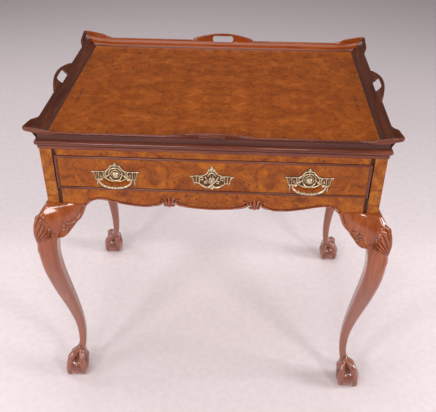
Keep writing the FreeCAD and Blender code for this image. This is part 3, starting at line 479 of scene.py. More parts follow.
trayBurr = makeBurrWalnut("burr_walnut_tray_veneer", (0, -62, 0), burrTones, cloudSize=32.0,
                          knotPitch=19.0, cut=1.7)
drawerBurr = makeBurrWalnut("burr_walnut_drawer_veneer", (0, 300, 900), friezeTones,
                            cloudSize=34.0)
railBurr = makeBurrWalnut("burr_walnut_rail_veneer", (0, 120, 700), friezeTones, cloudSize=30.0,
                          channelX=case["channelX"])
sideBurr = makeBurrWalnut("burr_walnut_side_veneer", (500, 0, 820), friezeTones, streakAxis=1)
postBurr = makeBurrWalnut("burr_walnut_post_veneer", (0, 0, 560), postTones, streakAxis=2,
                          cloudSize=24.0, knotPitch=18.0, channelX=case["channelX"])
# the legs take a painted reflection of the floor below the knees
legWalnut = makePolishedWalnut("polished_walnut_legs", 2, legTones, 1.0, floorReflectionTone="#8f5a4c")
carvingWalnut = makePolishedWalnut("polished_walnut_carving", 0, legTones, 1.0)
edgeWalnut = makePolishedWalnut("polished_walnut_edge_along", 0, galleryTones, 1.0)
longWalnut = makePolishedWalnut("polished_walnut_gallery_long", 0, galleryTones, 0.15)
# painted shade: the front and the short sides take darker, shaded copies of the same walnut
frontShadedWalnut = makePolishedWalnut("polished_walnut_gallery_front_shaded", 0, frontShadeTones, 0.25)
shortShadedWalnut = makePolishedWalnut("polished_walnut_gallery_short_shaded", 1, sideShadeTones)
longMoulding = makePolishedWalnut("polished_walnut_moulding_long", 0, beadTones)
shortMoulding = makePolishedWalnut("polished_walnut_moulding_short", 1, beadTones)
uprightMoulding = makePolishedWalnut("polished_walnut_moulding_upright", 2, beadTones)
oakAlongX = makePlanedOak("planed_oak_along_x", 0, oakTones)
oakAlongY = makePlanedOak("planed_oak_along_y", 1, oakTones)
agedBrass = makeAgedBrass("aged_cast_brass")
drawnSteel = makeDrawnSteel("drawn_steel")
print("materials made")


# legs
# A leg is drawn with the body corner at (0, 0) and the outside towards
# +X +Y. Each station is the height, the offset of the outer arris, the offset
# of the inner faces, how far the outer faces fall back at the knee blocks,
# and the radii of the arris and of the other corners.
leg = {
    "stations": np.array([
        (522.5, 3, -25, 0, 5, 1), (519, 8, -25, 1.5, 8, 1), (514, 12.5, -25, 3.5, 11, 1),
        (506, 19, -25, 6.5, 14, 1), (497, 25, -25, 10, 16, 1), (486, 30, -25, 13, 16.5, 1),
        (474, 32.8, -25, 14, 16.5, 1.5), (462, 33.4, -23, 12.5, 15.5, 3),
        (450, 33.2, -17.5, 9, 14.5, 6), (438, 33, -13, 5, 13.5, 9), (424, 33, -10.8, 2, 12.8, 11),
        (408, 32.8, -9.8, 0.5, 12.4, 12), (385, 32, -9.9, 0, 12.5, 12.5),
        (360, 30, -11.4, 0, 12.5, 12.5), (330, 25.8, -14.4, 0, 12.5, 12.5),
        (296, 19.4, -18.6, 0, 12, 12), (260, 11.4, -22.9, 0, 11, 11), (221, 2.4, -27, 0, 10, 10),
        (182, -5.4, -30.2, 0, 8.6, 8.6), (145, -10.6, -31.5, 0, 7.2, 7.2),
        (110, -11.8, -30.1, 0, 6.3, 6.3), (85, -10.1, -26.9, 0, 5.8, 5.8),
        (66, -5.8, -23, 0, 5.9, 5.9), (50, -1.5, -19.5, 0, 6, 6), (30, 1, -17, 0, 6, 6),
    ])[::-1],
    "footCentre": -2.5,
    "ballRadius": 27.4,
    "ballHeight": 23.0,
    "webRadius": 29.4,
    "webLow": 25.5,  # the web's lower edge beside a toe
    "webArch": 5.0,  # how much higher that edge is half way between two toes
    "webbing": 1.6,
    "ankle": 52.0,
    # toes: distance from the foot's centre, sideways, height, half thickness
    "frontToe": [(-14, 0, 75, 6.4), (-2, 0, 70, 7.4), (8, 0, 64.5, 8.2), (14.5, 0, 58.5, 8.8),
                 (18, 0, 51, 7.4), (20.5, 0, 43, 6.9), (23.5, 0, 33, 7.6), (25.5, 0, 24, 7.2),
                 (27.5, 0, 16, 6), (27.5, 0, 9.5, 4.8), (25.2, 0, 4.6, 3.4)],
    "sideToe": [(-3, 13, 70, 6), (4, 11.5, 66, 7), (11, 8.5, 60, 8), (16.5, 5, 53, 8.2),
                (20, 2, 46, 6.8), (22.5, 0.5, 38, 7.2), (24.5, 0, 29, 6.6), (26, 0, 19, 6),
                (26, 0, 11, 4.6), (23.6, 0, 4.4, 3.2)],
    "backToe": [(14, 0, 70, 6.2), (17.5, 0, 65, 7.2), (21, 0, 58, 7.8), (24, 0, 50, 7.2),
                (26.5, 0, 42, 7.8), (26.5, 0, 32, 6.6), (25.5, 0, 22, 6.4), (24.8, 0, 12, 5),
                (22.8, 0, 4.4, 3.4)],
    "footTop": 84.0,
    "kneeLow": 404.0,
    "rows": (76, 52, 112),  # up to the foot's top, up to the knee, and above
    "columns": 176,
    "crowding": 0.45,  # how much closer the columns stand at the arris
    "searchFrom": 66.0,
    "searchPace": 0.8,
    "searchSteps": 70,
}
kneeShell = {
    "foot": 427.0,
    "narrow": 1.12,
    "spread": 46.0,  # degrees to each side
    "reach": [(0, 78), (10, 71), (15, 61), (25, 49), (40, 42), (46, 38)],  # degrees, mm
    "ribs": 11,
    "scallop": 5.0,
    "base": 0.5,
    "ribHeight": 3.4,
    "knobHeight": 1.3,
    "dropHeight": 1.6,
    "borderDepth": 0.6,
}


def roundCorner(a, b, radius):
    # two half planes met with a round of that radius
    u = np.maximum(a + radius, 0)
    v = np.maximum(b + radius, 0)
    return np.minimum(np.maximum(a, b), -radius) + np.hypot(u, v)


def shankDistance(x, y, station):
    # signed distance to the kite of four planes that bounds the leg
    outer, inner, fall, arris, rest = station
    run = outer - inner
    length = np.hypot(run, fall)
    towardY = ((y - outer) * run - (x - outer) * fall) / length
    towardX = ((x - outer) * run - (y - outer) * fall) / length
    outside = roundCorner(towardX, towardY, arris)
    inside = roundCorner(inner - x, inner - y, rest)
    return roundCorner(outside, inside, rest)


def toeDistance(x, y, z, angle, points, lean=1):
    # the nearest of a chain of tapered rounds, one toe of the claw
    out = np.array([math.cos(math.radians(angle)), math.sin(math.radians(angle))])
    across = np.array([-out[1], out[0]])
    foot = leg["footCentre"]
    chain = [(foot + out[0] * r + across[0] * s * lean, foot + out[1] * r + across[1] * s * lean,
              h, t) for r, s, h, t in points]
    nearest = np.full(x.shape, 1e3)
    for (ax, ay, az, at), (bx, by, bz, bt) in zip(chain, chain[1:]):
        run = np.array([bx - ax, by - ay, bz - az])
        share = ((x - ax) * run[0] + (y - ay) * run[1] + (z - az) * run[2]) / (run @ run)
        share = np.clip(share, 0, 1)
        gap = np.sqrt((x - ax - share * run[0]) ** 2 + (y - ay - share * run[1]) ** 2
                      + (z - az - share * run[2]) ** 2)
        nearest = np.minimum(nearest, gap - (at + share * (bt - at)))
    return nearest


def meltedInto(a, b, width):
    # the smaller of two distances with the crease between them filled
    share = np.clip(0.5 + 0.5 * (b - a) / width, 0, 1)
    return b + (a - b) * share - width * share * (1 - share)


def shellRelief(x, y, z):
    # a shell on the arris: reeds fan up from a point at its foot, each with a
    # rounded, raised tip, and a drop hangs below
    s = kneeShell
    across = (x - y) / math.sqrt(2) * s["narrow"]
    up = z - s["foot"]
    far = np.hypot(across, up)
    degrees = np.degrees(np.abs(np.arctan2(across, up)))
    reed = np.abs(np.cos(math.pi * degrees * s["ribs"] / (2 * s["spread"])))
    reach = np.interp(degrees, *np.array(s["reach"]).T)
    fan = smooth((s["spread"] - degrees) / 2.5) * smooth((up - 3) / 8)
    tip = reach - s["scallop"] * (1 - reed) ** 1.5
    inside = smooth((tip - far) / 2.6) * fan
    crest = reed ** 0.6 * smooth(far / 34)
    knob = np.exp(-((far - reach + s["scallop"]) / 3.4) ** 2) * reed ** 2
    border = np.exp(-((far - tip - 1.6) / 1.8) ** 2) * fan
    drop = np.exp(-((up + 12) / 9) ** 2 - (across / 6.5) ** 2)
    relief = inside * (s["base"] + s["ribHeight"] * crest + s["knobHeight"] * knob)
    relief = relief + s["dropHeight"] * drop - s["borderDepth"] * border
    # painted shade in the grooves between the reeds and in the sunk border round the shell; the
    # drop is darkened as well
    groove = inside * (1 - reed ** 0.5) * smooth((far - 6) / 18)
    return relief, np.clip(0.9 * groove + 0.5 * border + 0.3 * drop, 0, 1)


def footDistance(x, y, z, shank):
    # a ball held by four toes, the ankle and a web whose lower edge arches
    # from toe to toe; the creases between them come back as well, as painted shade
    px, py = x - leg["footCentre"], y - leg["footCentre"]
    centreGap = np.sqrt(px ** 2 + py ** 2 + (z - leg["ballHeight"]) ** 2)
    ball = centreGap - leg["ballRadius"]
    toes = np.minimum.reduce([toeDistance(x, y, z, *toe) for toe in (
        (45, leg["frontToe"]), (135, leg["sideToe"]), (-45, leg["sideToe"], -1),
        (225, leg["backToe"]))])
    ankle = np.maximum(shank, leg["ankle"] - z)
    claw = meltedInto(toes, ankle, 8.0)
    between = 1 - np.abs(np.sin(2 * np.arctan2(py, px)))
    edge = leg["webLow"] + leg["webArch"] * between
    claw = meltedInto(claw, roundCorner(centreGap - leg["webRadius"], edge - z, 1.2), 3.0)
    # painted shade along the toes where they meet the ankle, and in the crease round the ball
    alongToes = 0.75 * np.exp(-((toes - ankle) / 1.7) ** 2) * smooth((z - 34) / 10)
    crease = np.exp(-((ball - claw) / 2.2) ** 2) * smooth((z - 2) / 5)
    return meltedInto(claw, ball, leg["webbing"]), np.maximum(crease, alongToes)


def makeLegShell():
    # for each height and each direction from the leg's middle, the radius is
    # found by walking in from outside until the distance to the shape is nil
    footTop, kneeLow, columns = leg["footTop"], leg["kneeLow"], leg["columns"]
    inFoot, inShank, inKnee = leg["rows"]
    heights = np.concatenate([np.linspace(0, footTop, inFoot, endpoint=False),
                              np.linspace(footTop, kneeLow, inShank, endpoint=False),
                              np.linspace(kneeLow, case["kneeLine"], inKnee)])
    angle = fullTurn(columns)
    angle = angle - leg["crowding"] * np.sin(angle - math.pi / 4)
    table = leg["stations"]
    station = splineWeights(table[:, 0], np.clip(heights, table[0, 0], None)) @ table[:, 1:]
    station = [station[:, i:i + 1] for i in range(5)]
    middle = (station[0] + station[1]) / 2
    middle += (leg["footCentre"] - middle) * smooth((footTop - heights[:, None]) / 32)
    z = np.repeat(heights[:, None], columns, 1)
    low = heights < footTop + 6
    radius = np.full(z.shape, leg["searchFrom"])
    for step in range(leg["searchSteps"]):
        x, y = middle + radius * np.cos(angle), middle + radius * np.sin(angle)
        relief, dark = shellRelief(x, y, z)
        gap = shankDistance(x, y, station) - relief
        gap[low], crease = footDistance(x[low], y[low], z[low], gap[low])
        # the foot's painted shade in its creases joins the carving's
        dark[low] = np.maximum(crease, dark[low])
        radius = np.clip(radius - leg["searchPace"] * gap, 4.0, leg["searchFrom"])
    rings = np.stack([middle + radius * np.cos(angle), middle + radius * np.sin(angle), z], -1)
    # the square post above the knee, one veneer's thickness inside the case
    inner, outer = -case["postSize"], -case["facing"]
    reach = (outer - inner) / 2 / np.maximum(np.abs(np.cos(angle)), np.abs(np.sin(angle)))
    tops = np.array([[case["kneeLine"]], [case["friezeTop"]]])
    post = stacked((inner + outer) / 2 + reach * np.cos(angle),
                   (inner + outer) / 2 + reach * np.sin(angle), tops)
    return tube(np.concatenate([rings, post]), np.concatenate([dark, np.zeros((2, columns))]))


cornerTurns = {
    "back_right": (0, 1, 1),
    "back_left": (90, -1, 1),
    "front_left": (180, -1, -1),
    "front_right": (270, 1, -1),
}


def atCorner(one, corner, acrossDiagonal=False):
    degrees, sx, sy = cornerTurns[corner]
    return placed(one, degrees, (sx * case["halfX"], sy * case["halfY"], 0), acrossDiagonal)


legShell = makeLegShell()
for corner in cornerTurns:
    newPiece("carved_leg_" + corner, [atCorner(legShell, corner)], legWalnut, "table",
             ["leg_" + corner], 50)
print("legs made")

# knee blocks
kneeBlock = {
    # distance from the case's corner along the rail, and height
    "outline": [(85, 521.8), (81, 518), (77, 510), (73.5, 501), (69, 492), (62.5, 484),
                (56.5, 478), (52, 471.5), (47, 465.5), (41.5, 459), (36.5, 453.8), (31, 450),
                (25, 448), (16, 446.4)],
    "behindKnee": [(25.0, 472.0), (16.0, 447.4)],
    "end": 85.0,
    "back": -15.0,
    "grid": (110, 52),
    # strands: line, half width, rise
    "strands": [([(78.4, 521.8), (73.8, 511.5), (70.4, 502.5), (65.9, 493.8), (59.6, 486.4),
                  (52, 481.4), (43.8, 479)], 3.9, 3.9),
                ([(52.5, 476.6), (48.4, 471), (43.6, 465), (38.6, 458.6), (33.4, 453.8),
                  (27, 451.2)], 2.4, 2.4)],
    # leaf ends of the scroll: along the rail, height, radius, rise
    "bumps": [(39.2, 479.6, 4.3, 4.4), (32.4, 475.2, 4.2, 4), (37.8, 470.6, 3.8, 3.6),
              (30.6, 466.4, 3.6, 3), (36.6, 462.6, 3, 2.2)],
}


def kneeFace(u, z):
    # the block's face starts level with the knee and falls back to the rail;
    # where it runs on behind the knee it sinks under the leg's face
    table = leg["stations"]
    proud = np.interp(z, table[:, 0], table[:, 1] - table[:, 3])
    share = np.clip((u - case["postSize"]) / (kneeBlock["end"] - case["postSize"]), 0, None)
    fade = np.clip(1 - share, 0, 1) ** 1.3
    sink = 1.2 * smooth((case["postSize"] - u) / 1.5)
    return proud * fade + 1.5 * share * (case["kneeLine"] - z) / 30 - sink


def halfRound(off):
    # the rise of a round section, 1 on its middle and 0 from its edge outwards
    return np.sqrt(np.clip(1 - off ** 2, 0, 1))


def makeKneeBlockShell():
    # ribs from each point of the curved lower edge to the straight top and
    # the leg's side; strands and leaf ends rise by the round of their width
    columns, rows = kneeBlock["grid"]
    low = curveThrough(kneeBlock["outline"], columns)
    top = case["kneeLine"] - 0.05
    far = np.array([(kneeBlock["end"], top), (case["postSize"], top)] + kneeBlock["behindKnee"])
    reach = lengthAlong(far)
    spread = np.linspace(0, reach[-1], columns)
    high = np.stack([np.interp(spread, reach, far[:, 0]), np.interp(spread, reach, far[:, 1])], -1)
    share = (np.linspace(0, 1, rows) ** 1.3)[None, :, None]
    flat = low[:, None, :] * (1 - share) + high[:, None, :] * share
    u, z = flat[..., 0], flat[..., 1]
    relief, dark = np.zeros(u.shape), np.zeros(u.shape)
    for points, half, rise in kneeBlock["strands"]:
        path = curveThrough(points, 90)
        off = np.hypot(u[..., None] - path[:, 0], z[..., None] - path[:, 1]).min(-1) / half
        relief = np.maximum(relief, rise * halfRound(off))
        # painted shade in the creases on each side of a strand
        dark = np.maximum(dark, 0.6 * np.exp(-((off - 1.15) / 0.24) ** 2))
    for bumpU, bumpZ, radius, rise in kneeBlock["bumps"]:
        off = np.hypot(u - bumpU, z - bumpZ) / radius
        relief = np.maximum(relief, rise * halfRound(off))
        # painted shade in a ring round each leaf end, none on its top
        dark = np.where(off < 1, dark * smooth((off - 0.7) / 0.3), dark)
        dark = np.maximum(dark, 0.9 * np.exp(-((off - 1.08) / 0.2) ** 2))
    relief -= 1.6 * smooth((1.6 - np.linalg.norm(flat - low[:, None, :], axis=2)) / 1.6)
    return slab(stacked(-u, kneeFace(u, z) + relief, z), stacked(-u, kneeBlock["back"], z), dark)


kneeBlockShell = makeKneeBlockShell()
blockNames = {
    "back_right": ("back_knee_block_right", "right_knee_block_back"),
    "back_left": ("left_knee_block_back", "back_knee_block_left"),
    "front_left": ("front_knee_block_left", "left_knee_block_front"),
    "front_right": ("right_knee_block_front", "front_knee_block_right"),
}
for corner, names in blockNames.items():
    for name, acrossDiagonal in zip(names, (False, True)):
        newPiece("carved_" + name, [atCorner(kneeBlockShell, corner, acrossDiagonal)], legWalnut,
                 "table", [name], 50)
print("knee blocks made")

# aprons' edges and carving
apron = {
    "frontArch": [(258, 522.5), (253, 527.5), (246, 531.8), (238, 534.3), (228, 534.2),
                  (216, 532.2), (204, 529.6), (190, 526), (172, 522.7), (156, 520.3), (141, 519.6),
                  (128, 520.2), (119, 522.5)],
    "frontCentre": [(57, 522.5), (47, 521), (34, 519.7), (22, 519), (10, 518.2), (0, 518),
                    (-10, 518.2), (-22, 519), (-34, 519.7), (-47, 521), (-57, 522.5)],
    "sideArch": [(166, 522.5), (161, 527.5), (154, 531.8), (146, 534.3), (136, 534.2), (124, 532),
                 (110, 528.2), (94, 524.2), (78, 521.2), (62, 519.8), (46, 520.2), (30, 522.5)],
    "beadWidth": 5.5,
    "beadProud": 2.6,
    "beadDepth": 6.0,
    "pointPitch": 3.0,
    "motifX": 88.0,
    "motifZ": 529.0,
    # one half of a motif: line, half widths, rises
    "motif": [
        ([(31.5, -4.2), (27, -3), (22, -1.2), (17, 0.8), (13.4, 4.6), (14.4, 9.4), (18.6, 10.8),
          (21.2, 8.2), (19.4, 5.8)],
         [2.2, 2.8, 3.0, 2.8, 2.4, 2.1, 1.8, 1.5, 1.2],
         [2.6, 3.6, 4.0, 3.8, 3.6, 3.4, 3.0, 2.6, 2.2]),
        ([(2.6, -4.5), (5.2, 1.5), (6.9, 7.5), (9.0, 12.5), (12.8, 16.5)],
         [1.6, 3.0, 3.2, 2.5, 0.8], [2.8, 4.4, 4.4, 3.2, 1.0]),
        ([(3.6, -4.4), (8.0, -4.0), (12.2, -1.6)], [1.4, 2.5, 1.0], [2.2, 3.4, 1.2]),
    ],
}


def makeEdgeShell(points, face):
    # a round bead with a small hollow above it, carried along the shaped edge
    path = curveThrough(points, int(lengthAlong(np.array(points))[-1] / apron["pointPitch"]))
    side = normals2(path)
    if side[len(side) // 2, 1] < 0:
        side = -side
    wide, proud, deep = apron["beadWidth"], apron["beadProud"], apron["beadDepth"]
    turn = np.linspace(0, math.pi, 13)
    off = np.concatenate([[0.0], wide * 0.40 * (1 - np.cos(turn)), [wide * 0.88, wide, wide]])
    out = np.concatenate([[face - deep], face + 0.2 + (proud - 0.2) * np.sin(turn),
                          [face + 0.3, face + 0.05, face - deep]])
    # painted shade in the small hollow above the bead
    groove = 0.85 * np.exp(-((off - wide * 0.86) / 0.8) ** 2)
    x, z = path[:, :1] + side[:, :1] * off, path[:, 1:] + side[:, 1:] * off
    return tube(stacked(x, -out, z), groove)


def makeMotifShells(x, face):
    # two C scrolls back to back with a spray of leaves rising between them
    cz = apron["motifZ"]
    shells = []
    for points, widths, heights in apron["motif"]:
        for sign in (-1, 1):
            line = [(x + sign * px, cz + pz) for px, pz in points]
            shells.append(ovalStrand(line, widths, heights, face))
    shells.append(ovalStrand([(x, cz - 4), (x, cz + 4), (x, cz + 12), (x, cz + 20)],
                             [2.2, 3.8, 3.4, 0.7], [3.2, 5.0, 4.6, 1.2], face))
    shells.append(globe((x, face, cz - 4.6), (3.4, 4.4, 3.0)))
    return shells


sideTurns = {"front": 0, "right": 90, "back": 180, "left": 270}


def halfSizes(degrees):
    # half the case's length along a side, and from that side to the middle
    sizes = (case["halfX"], case["halfY"])
    return sizes if degrees % 180 == 0 else sizes[::-1]


motifShells = []
for side, degrees in sideTurns.items():
    onLong = degrees % 180 == 0
    face = case["halfY"] if onLong else case["halfX"]
    arch = apron["frontArch"] if onLong else apron["sideArch"]
    lines = [arch, [(-x, z) for x, z in arch[::-1]]] + [apron["frontCentre"]] * onLong
    strips = [placed(makeEdgeShell(line, face), degrees) for line in lines]
    # the side edges take the shaded copy as well: painted shade
    newPiece("moulded_edge_" + side, strips, edgeWalnut if onLong else shortShadedWalnut, "table",
             ["apron_edge_" + side], 60)
    for x in (-apron["motifX"], apron["motifX"]) if onLong else (0.0,):
        motifShells += [placed(one, degrees) for one in makeMotifShells(x, -face)]
newPiece("carved_motifs", motifShells, carvingWalnut, "table",
         ["apron_carvings"], 60)
print("aprons carved")

# gallery
gallery = {
    "inset": 16.0,
    "neck": 1.5,
    "rimHeight": 694.3,
    "rimOffset": 10.8,
    "rimThickness": 5.4,
    "cornerStart": 62.0,
    "cornerStep": 36.0,
    "cornerRise": 4.8,
    "cornerFlare": 8.2,
    "cornerSweep": 9.8,
    "sweepStart": 47.0,
    "sweepLength": 52.0,
    "lipRise": 2.2,
    "lipSweep": 8.2,
    "tipFlare": 1.6,
    "tipStart": 28.0,
    "cornerRound": 7.5,
    "gripHalf": 79.0,
    "gripShoulder": 6.0,
    "gripStep": 3.5,
    "gripBow": 10.0,
    "gripLean": 1.31,
    "holeHalf": 26.5,
    "holeLow": 690.8,
    "holeHigh": 702.4,
    "holeRound": 1.3,
    "holeColumns": 17,  # grid columns to each side of its middle
    "holeRows": 8,
    "rowsBelow": (13, 10),  # on the outer face and on the inner one
    "outerLip": 2.6,
    "innerLip": 3.0,
    "lipOut": 1.4,
    "crownRise": 0.8,
    # share of the height and share of the way out, for the two faces
    "outerFlare": [(0, 0), (0.28, 0.033), (0.56, 0.167), (0.84, 0.47), (1, 1)],
    "innerHollow": [(0, 0), (0.17, 0.28), (0.46, 0.48), (0.78, 0.70), (1, 1)],
}


def rimAt(station, halfLength):
    # the rim steps and sweeps up and flares out at the corners, its lower lip
    # less than its crown; the grip rises by a small step and a bow, and leans
    # out with the bow
    g = gallery
    toCorner = halfLength - np.abs(station)
    step = smooth((g["cornerStart"] - toCorner) / g["cornerStep"])
    sweep = smooth((g["sweepStart"] - toCorner) / g["sweepLength"])
    tip = np.clip(1 - toCorner / g["tipStart"], 0, 1) ** 1.6
    bow = g["gripBow"] * np.clip(1 - (station / g["gripHalf"]) ** 2, 0, 1) ** 1.15
    lip = g["lipRise"] * step + g["lipSweep"] * tip
    rise = g["gripStep"] * smooth((g["gripHalf"] - np.abs(station)) / g["gripShoulder"]) + bow
    rise = rise + g["cornerRise"] * step + g["cornerSweep"] * sweep - lip
    offset = g["rimOffset"] + g["cornerFlare"] * step + g["tipFlare"] * tip
    return g["rimHeight"] + lip, offset, rise, g["gripLean"] * bow


def outerOffset(z, height, offset, rise, lean):
    # a hollow flare up to the rim's lower edge, a small round, then the fin's
    # straight lean
    g = gallery
    low, edge = height - g["outerLip"], offset - g["lipOut"]
    share = np.clip((z - case["boardTop"]) / (low - case["boardTop"]), 0, 1)
    flare = g["neck"] + (edge - g["neck"]) * splineAt(g["outerFlare"], share)
    turn = 1 - np.clip((z - low) / 1.3, 0, 1)
    fin = edge + g["lipOut"] * np.sqrt(1 - turn ** 2) + lean * (z - low) / (rise + g["crownRise"])
    return np.where(z > low, fin, flare)


def innerOffset(z, height, offset, rise, lean):
    # a cove from the tray's surface to the rim, then the fin's inner face
    g = gallery
    top, high = height - g["innerLip"], offset - g["rimThickness"] - 1.0
    share = np.clip((z - case["traySurface"]) / (top - case["traySurface"]), 0, 1)
    cove = -g["inset"] + (high + g["inset"]) * splineAt(g["innerHollow"], share)
    fin = high + (lean + 1.0) * (z - top) / (rise + 1.0)
    return np.where(z > top, fin, cove)


def roundedMitre(s, off, z, halfLength, halfAcross, corner):
    # the last stretch runs out to the mitre, where the outer faces are
    # rounded in plan by an arc of the corner's radius
    ramp = np.clip((np.abs(s) - (halfLength - 30)) / 30, 0, 1)
    radius = corner * smooth((off + 8) / 14) + 1e-6
    reach = np.abs(s) + off * ramp - 0.2929 * radius * ramp ** 2
    past = np.clip(radius - (halfLength + off - reach), 0, None)
    inward = radius - np.sqrt(np.clip(radius ** 2 - past ** 2, 0, None))
    return stacked(np.sign(s) * reach, -(halfAcross + off - inward), z)


def mirroredStations(stops, halfLength, last):
    # stretches of even steps from the middle to each mitre: start, end, count
    half = [np.linspace(start, end, count, endpoint=False) for start, end, count in stops]
    half = np.concatenate(half + [np.linspace(stops[-1][1], halfLength, last)])
    return np.concatenate([-half[:0:-1], half])


def gripHole():
    # half length, half height and middle height of the hole before its edge is
    # rounded
    g = gallery
    return (g["holeHalf"] + g["holeRound"], (g["holeHigh"] - g["holeLow"]) / 2 + g["holeRound"],
            (g["holeHigh"] + g["holeLow"]) / 2)


def holeWarp(s, z, crown):
    # grid lines round the grip's hole bend from a rectangle to round ends;
    # the crown's line stays
    a, b, middle = gripHole()
    across, up = s / a, (z - middle) / b
    q = np.maximum(np.maximum(np.abs(across), np.abs(up)), 1e-6)
    rx, rz = across / q * a, up / q * b
    past = np.maximum(np.abs(rx) - (a - b), 0)
    square = np.maximum(past, np.abs(rz)) / np.maximum(np.hypot(past, rz), 1e-9)
    newX = np.where(past > 0, np.sign(rx) * ((a - b) + past * square), rx)
    newZ = np.where(past > 0, rz * square, rz)
    pull = smooth((1.35 - q) / 0.35) * smooth((crown - z) / 0.8)
    return s + (newX - rx) * pull, z + (newZ - rz) * pull


def makeGalleryShell(halfLength, halfAcross):
    # a closed section at each station, from the board up the outer face, over
    # the rim and down the inner face; the grip's hole is cut out of both faces
    # along its grid lines and joined by a rounded wall
    g = gallery
    a, b, middle = gripHole()
    low, high = g["holeLow"] - g["holeRound"], g["holeHigh"] + g["holeRound"]
    wide, tall, below = g["holeColumns"], g["holeRows"], g["rowsBelow"]
    stops = [(0, a, wide), (a, 72, 16), (72, 81, 14), (81, halfLength - g["cornerStart"], 14),
             (halfLength - g["cornerStart"], halfLength - g["sweepStart"], 14),
             (halfLength - g["sweepStart"], halfLength - 10, 10)]
    station = mirroredStations(stops, halfLength, 11)
    rim = rimAt(station, halfLength)
    height, rise = rim[0], rim[2]
    crown = height - g["outerLip"] + rise + g["crownRise"]
    ease = smooth((np.abs(station) - a) / 14)[:, None]
    column = station[:, None]
    rim = [part[:, None] for part in rim]

    def faceRows(bottom, lip, rows):
        # heights of the face's rows: below, beside and above the hole, and
        # away from it below, at and above the rim's lip
        lip, top = lip[:, None], crown[:, None]
        first = low + (lip - low) * ease
        second = high + (lip + 0.6 * (top - lip) - high) * ease
        beside = np.linspace(0, 1, tall + 1)
        z = np.concatenate([bottom + (first - bottom) * np.linspace(0, 1, rows, endpoint=False),
                            first + (second - first) * (beside + (beside ** 1.7 - beside) * ease),
                            second + (top - second) * np.linspace(0, 1, 6)[1:]], 1)
        return holeWarp(np.repeat(column, z.shape[1], 1), z, top)

    outS, outZ = faceRows(case["boardTop"], height - g["outerLip"], below[0])
    inS, inZ = faceRows(case["traySurface"], height - g["innerLip"], below[1])
    outOff, inOff = outerOffset(outZ, *rim), innerOffset(inZ, *rim)
    # the rim's round top, from the outer face over to the inner one
    over = np.linspace(0, math.pi, 9)[None, 1:-1]
    outEdge, inEdge = outOff[:, -1:], inOff[:, -1:]
    rimOff = (outEdge + inEdge) / 2 + (outEdge - inEdge) / 2 * np.cos(over)
    rimZ = outZ[:, -1:] + 1.9 * np.sin(over)
    foot = np.ones(column.shape)
    s = np.concatenate([outS, column * np.ones(over.shape), inS[:, ::-1], column], 1)
    z = np.concatenate([outZ, rimZ, inZ[:, ::-1], case["boardTop"] * foot], 1)
    off = np.concatenate([outOff, rimOff, inOff[:, ::-1], -g["inset"] * foot], 1)
    rings = roundedMitre(s, off, z, halfLength, halfAcross, g["cornerRound"])
    index = np.arange(s.size).reshape(s.shape)
    quads = gridQuads(np.concatenate([index, index[:, :1]], 1))
    # columns and rows of both faces that bound the hole
    left, right = len(station) // 2 - wide, len(station) // 2 + wide
    firstIn = outZ.shape[1] + rimZ.shape[1]
    lastIn = firstIn + inZ.shape[1]
    outLow, inLow = below[0], lastIn - 1 - below[1]
    outHigh, inHigh = outLow + tall, inLow - tall
    keep = np.ones(quads.shape[:2], bool)
    keep[left:right, outLow:outHigh] = False
    keep[left:right, inHigh:inLow] = False

    def border(bottom, top):
        step = 1 if top > bottom else -1
        side, across = np.arange(bottom, top, step), np.arange(left, right)
        return np.concatenate([index[across, bottom], index[right, side],
                               index[across[::-1] + 1, top], index[left, side[::-1] + step]])

    ringOut, ringIn = border(outLow, outHigh), border(inLow, inHigh)
    flatS, flatZ = s.reshape(-1)[ringOut], z.reshape(-1)[ringOut]
    spine = np.clip(flatS, -(a - b), a - b)
    shrink = (b - g["holeRound"]) / b
    quarter = np.linspace(0, math.pi / 2, 4)[1:, None]
    mix = np.sin(np.concatenate([quarter, quarter[::-1]]))
    dip = g["holeRound"] * (1 - np.cos(quarter))
    depth = np.concatenate([off.reshape(-1)[ringOut] - dip, (off.reshape(-1)[ringIn] + dip)[::-1]])
    wall = stacked(flatS + (spine + (flatS - spine) * shrink - flatS) * mix, -(halfAcross + depth),
                   flatZ + (middle + (flatZ - middle) * shrink - flatZ) * mix)
    order = np.concatenate([ringOut[None], s.size + np.arange(depth.size).reshape(depth.shape),
                            ringIn[None]])
    hole = gridQuads(np.concatenate([order, order[:, :1]], 1).T).reshape(-1, 4)
    points = np.concatenate([rings.reshape(-1, 3), wall.reshape(-1, 3)])
    # painted shade in the outer hollow, along its foot and inside the cove
    dark = np.zeros(s.shape)
    dark[:, firstIn:lastIn] = np.exp(-(inZ[:, ::-1] - case["traySurface"]) / 2.0) * 0.85
    dark[:, :outZ.shape[1]] = 0.62 * smooth((height[:, None] - 3.2 - outZ) / 2.5) \
        + 0.35 * np.exp(-(outZ - case["boardTop"]) / 2.5)
    dark = np.concatenate([dark.reshape(-1), np.zeros(depth.size + 2)])
    triangles = endFans(index, len(points))
    points = np.concatenate([points, rings[:1].mean(1), rings[-1:].mean(1)])
    return shell(points, np.concatenate([quads[keep], hole]), triangles, dark)


for side, degrees in sideTurns.items():
    # the front and side galleries take the shaded copies: painted shade
    walnut = {"front": frontShadedWalnut, "back": longWalnut}.get(side, shortShadedWalnut)
    newPiece("shaped_gallery_" + side, [placed(makeGalleryShell(*halfSizes(degrees)), degrees)],
             walnut, "table", ["gallery_" + side], 35)
print("gallery made")

# moulding round the top of the case
baseBead = {"inset": 6.0, "fillet": 2.6, "filletTop": 660.2, "noseLow": 661.6, "nose": 7.5,
            "round": 4.0}


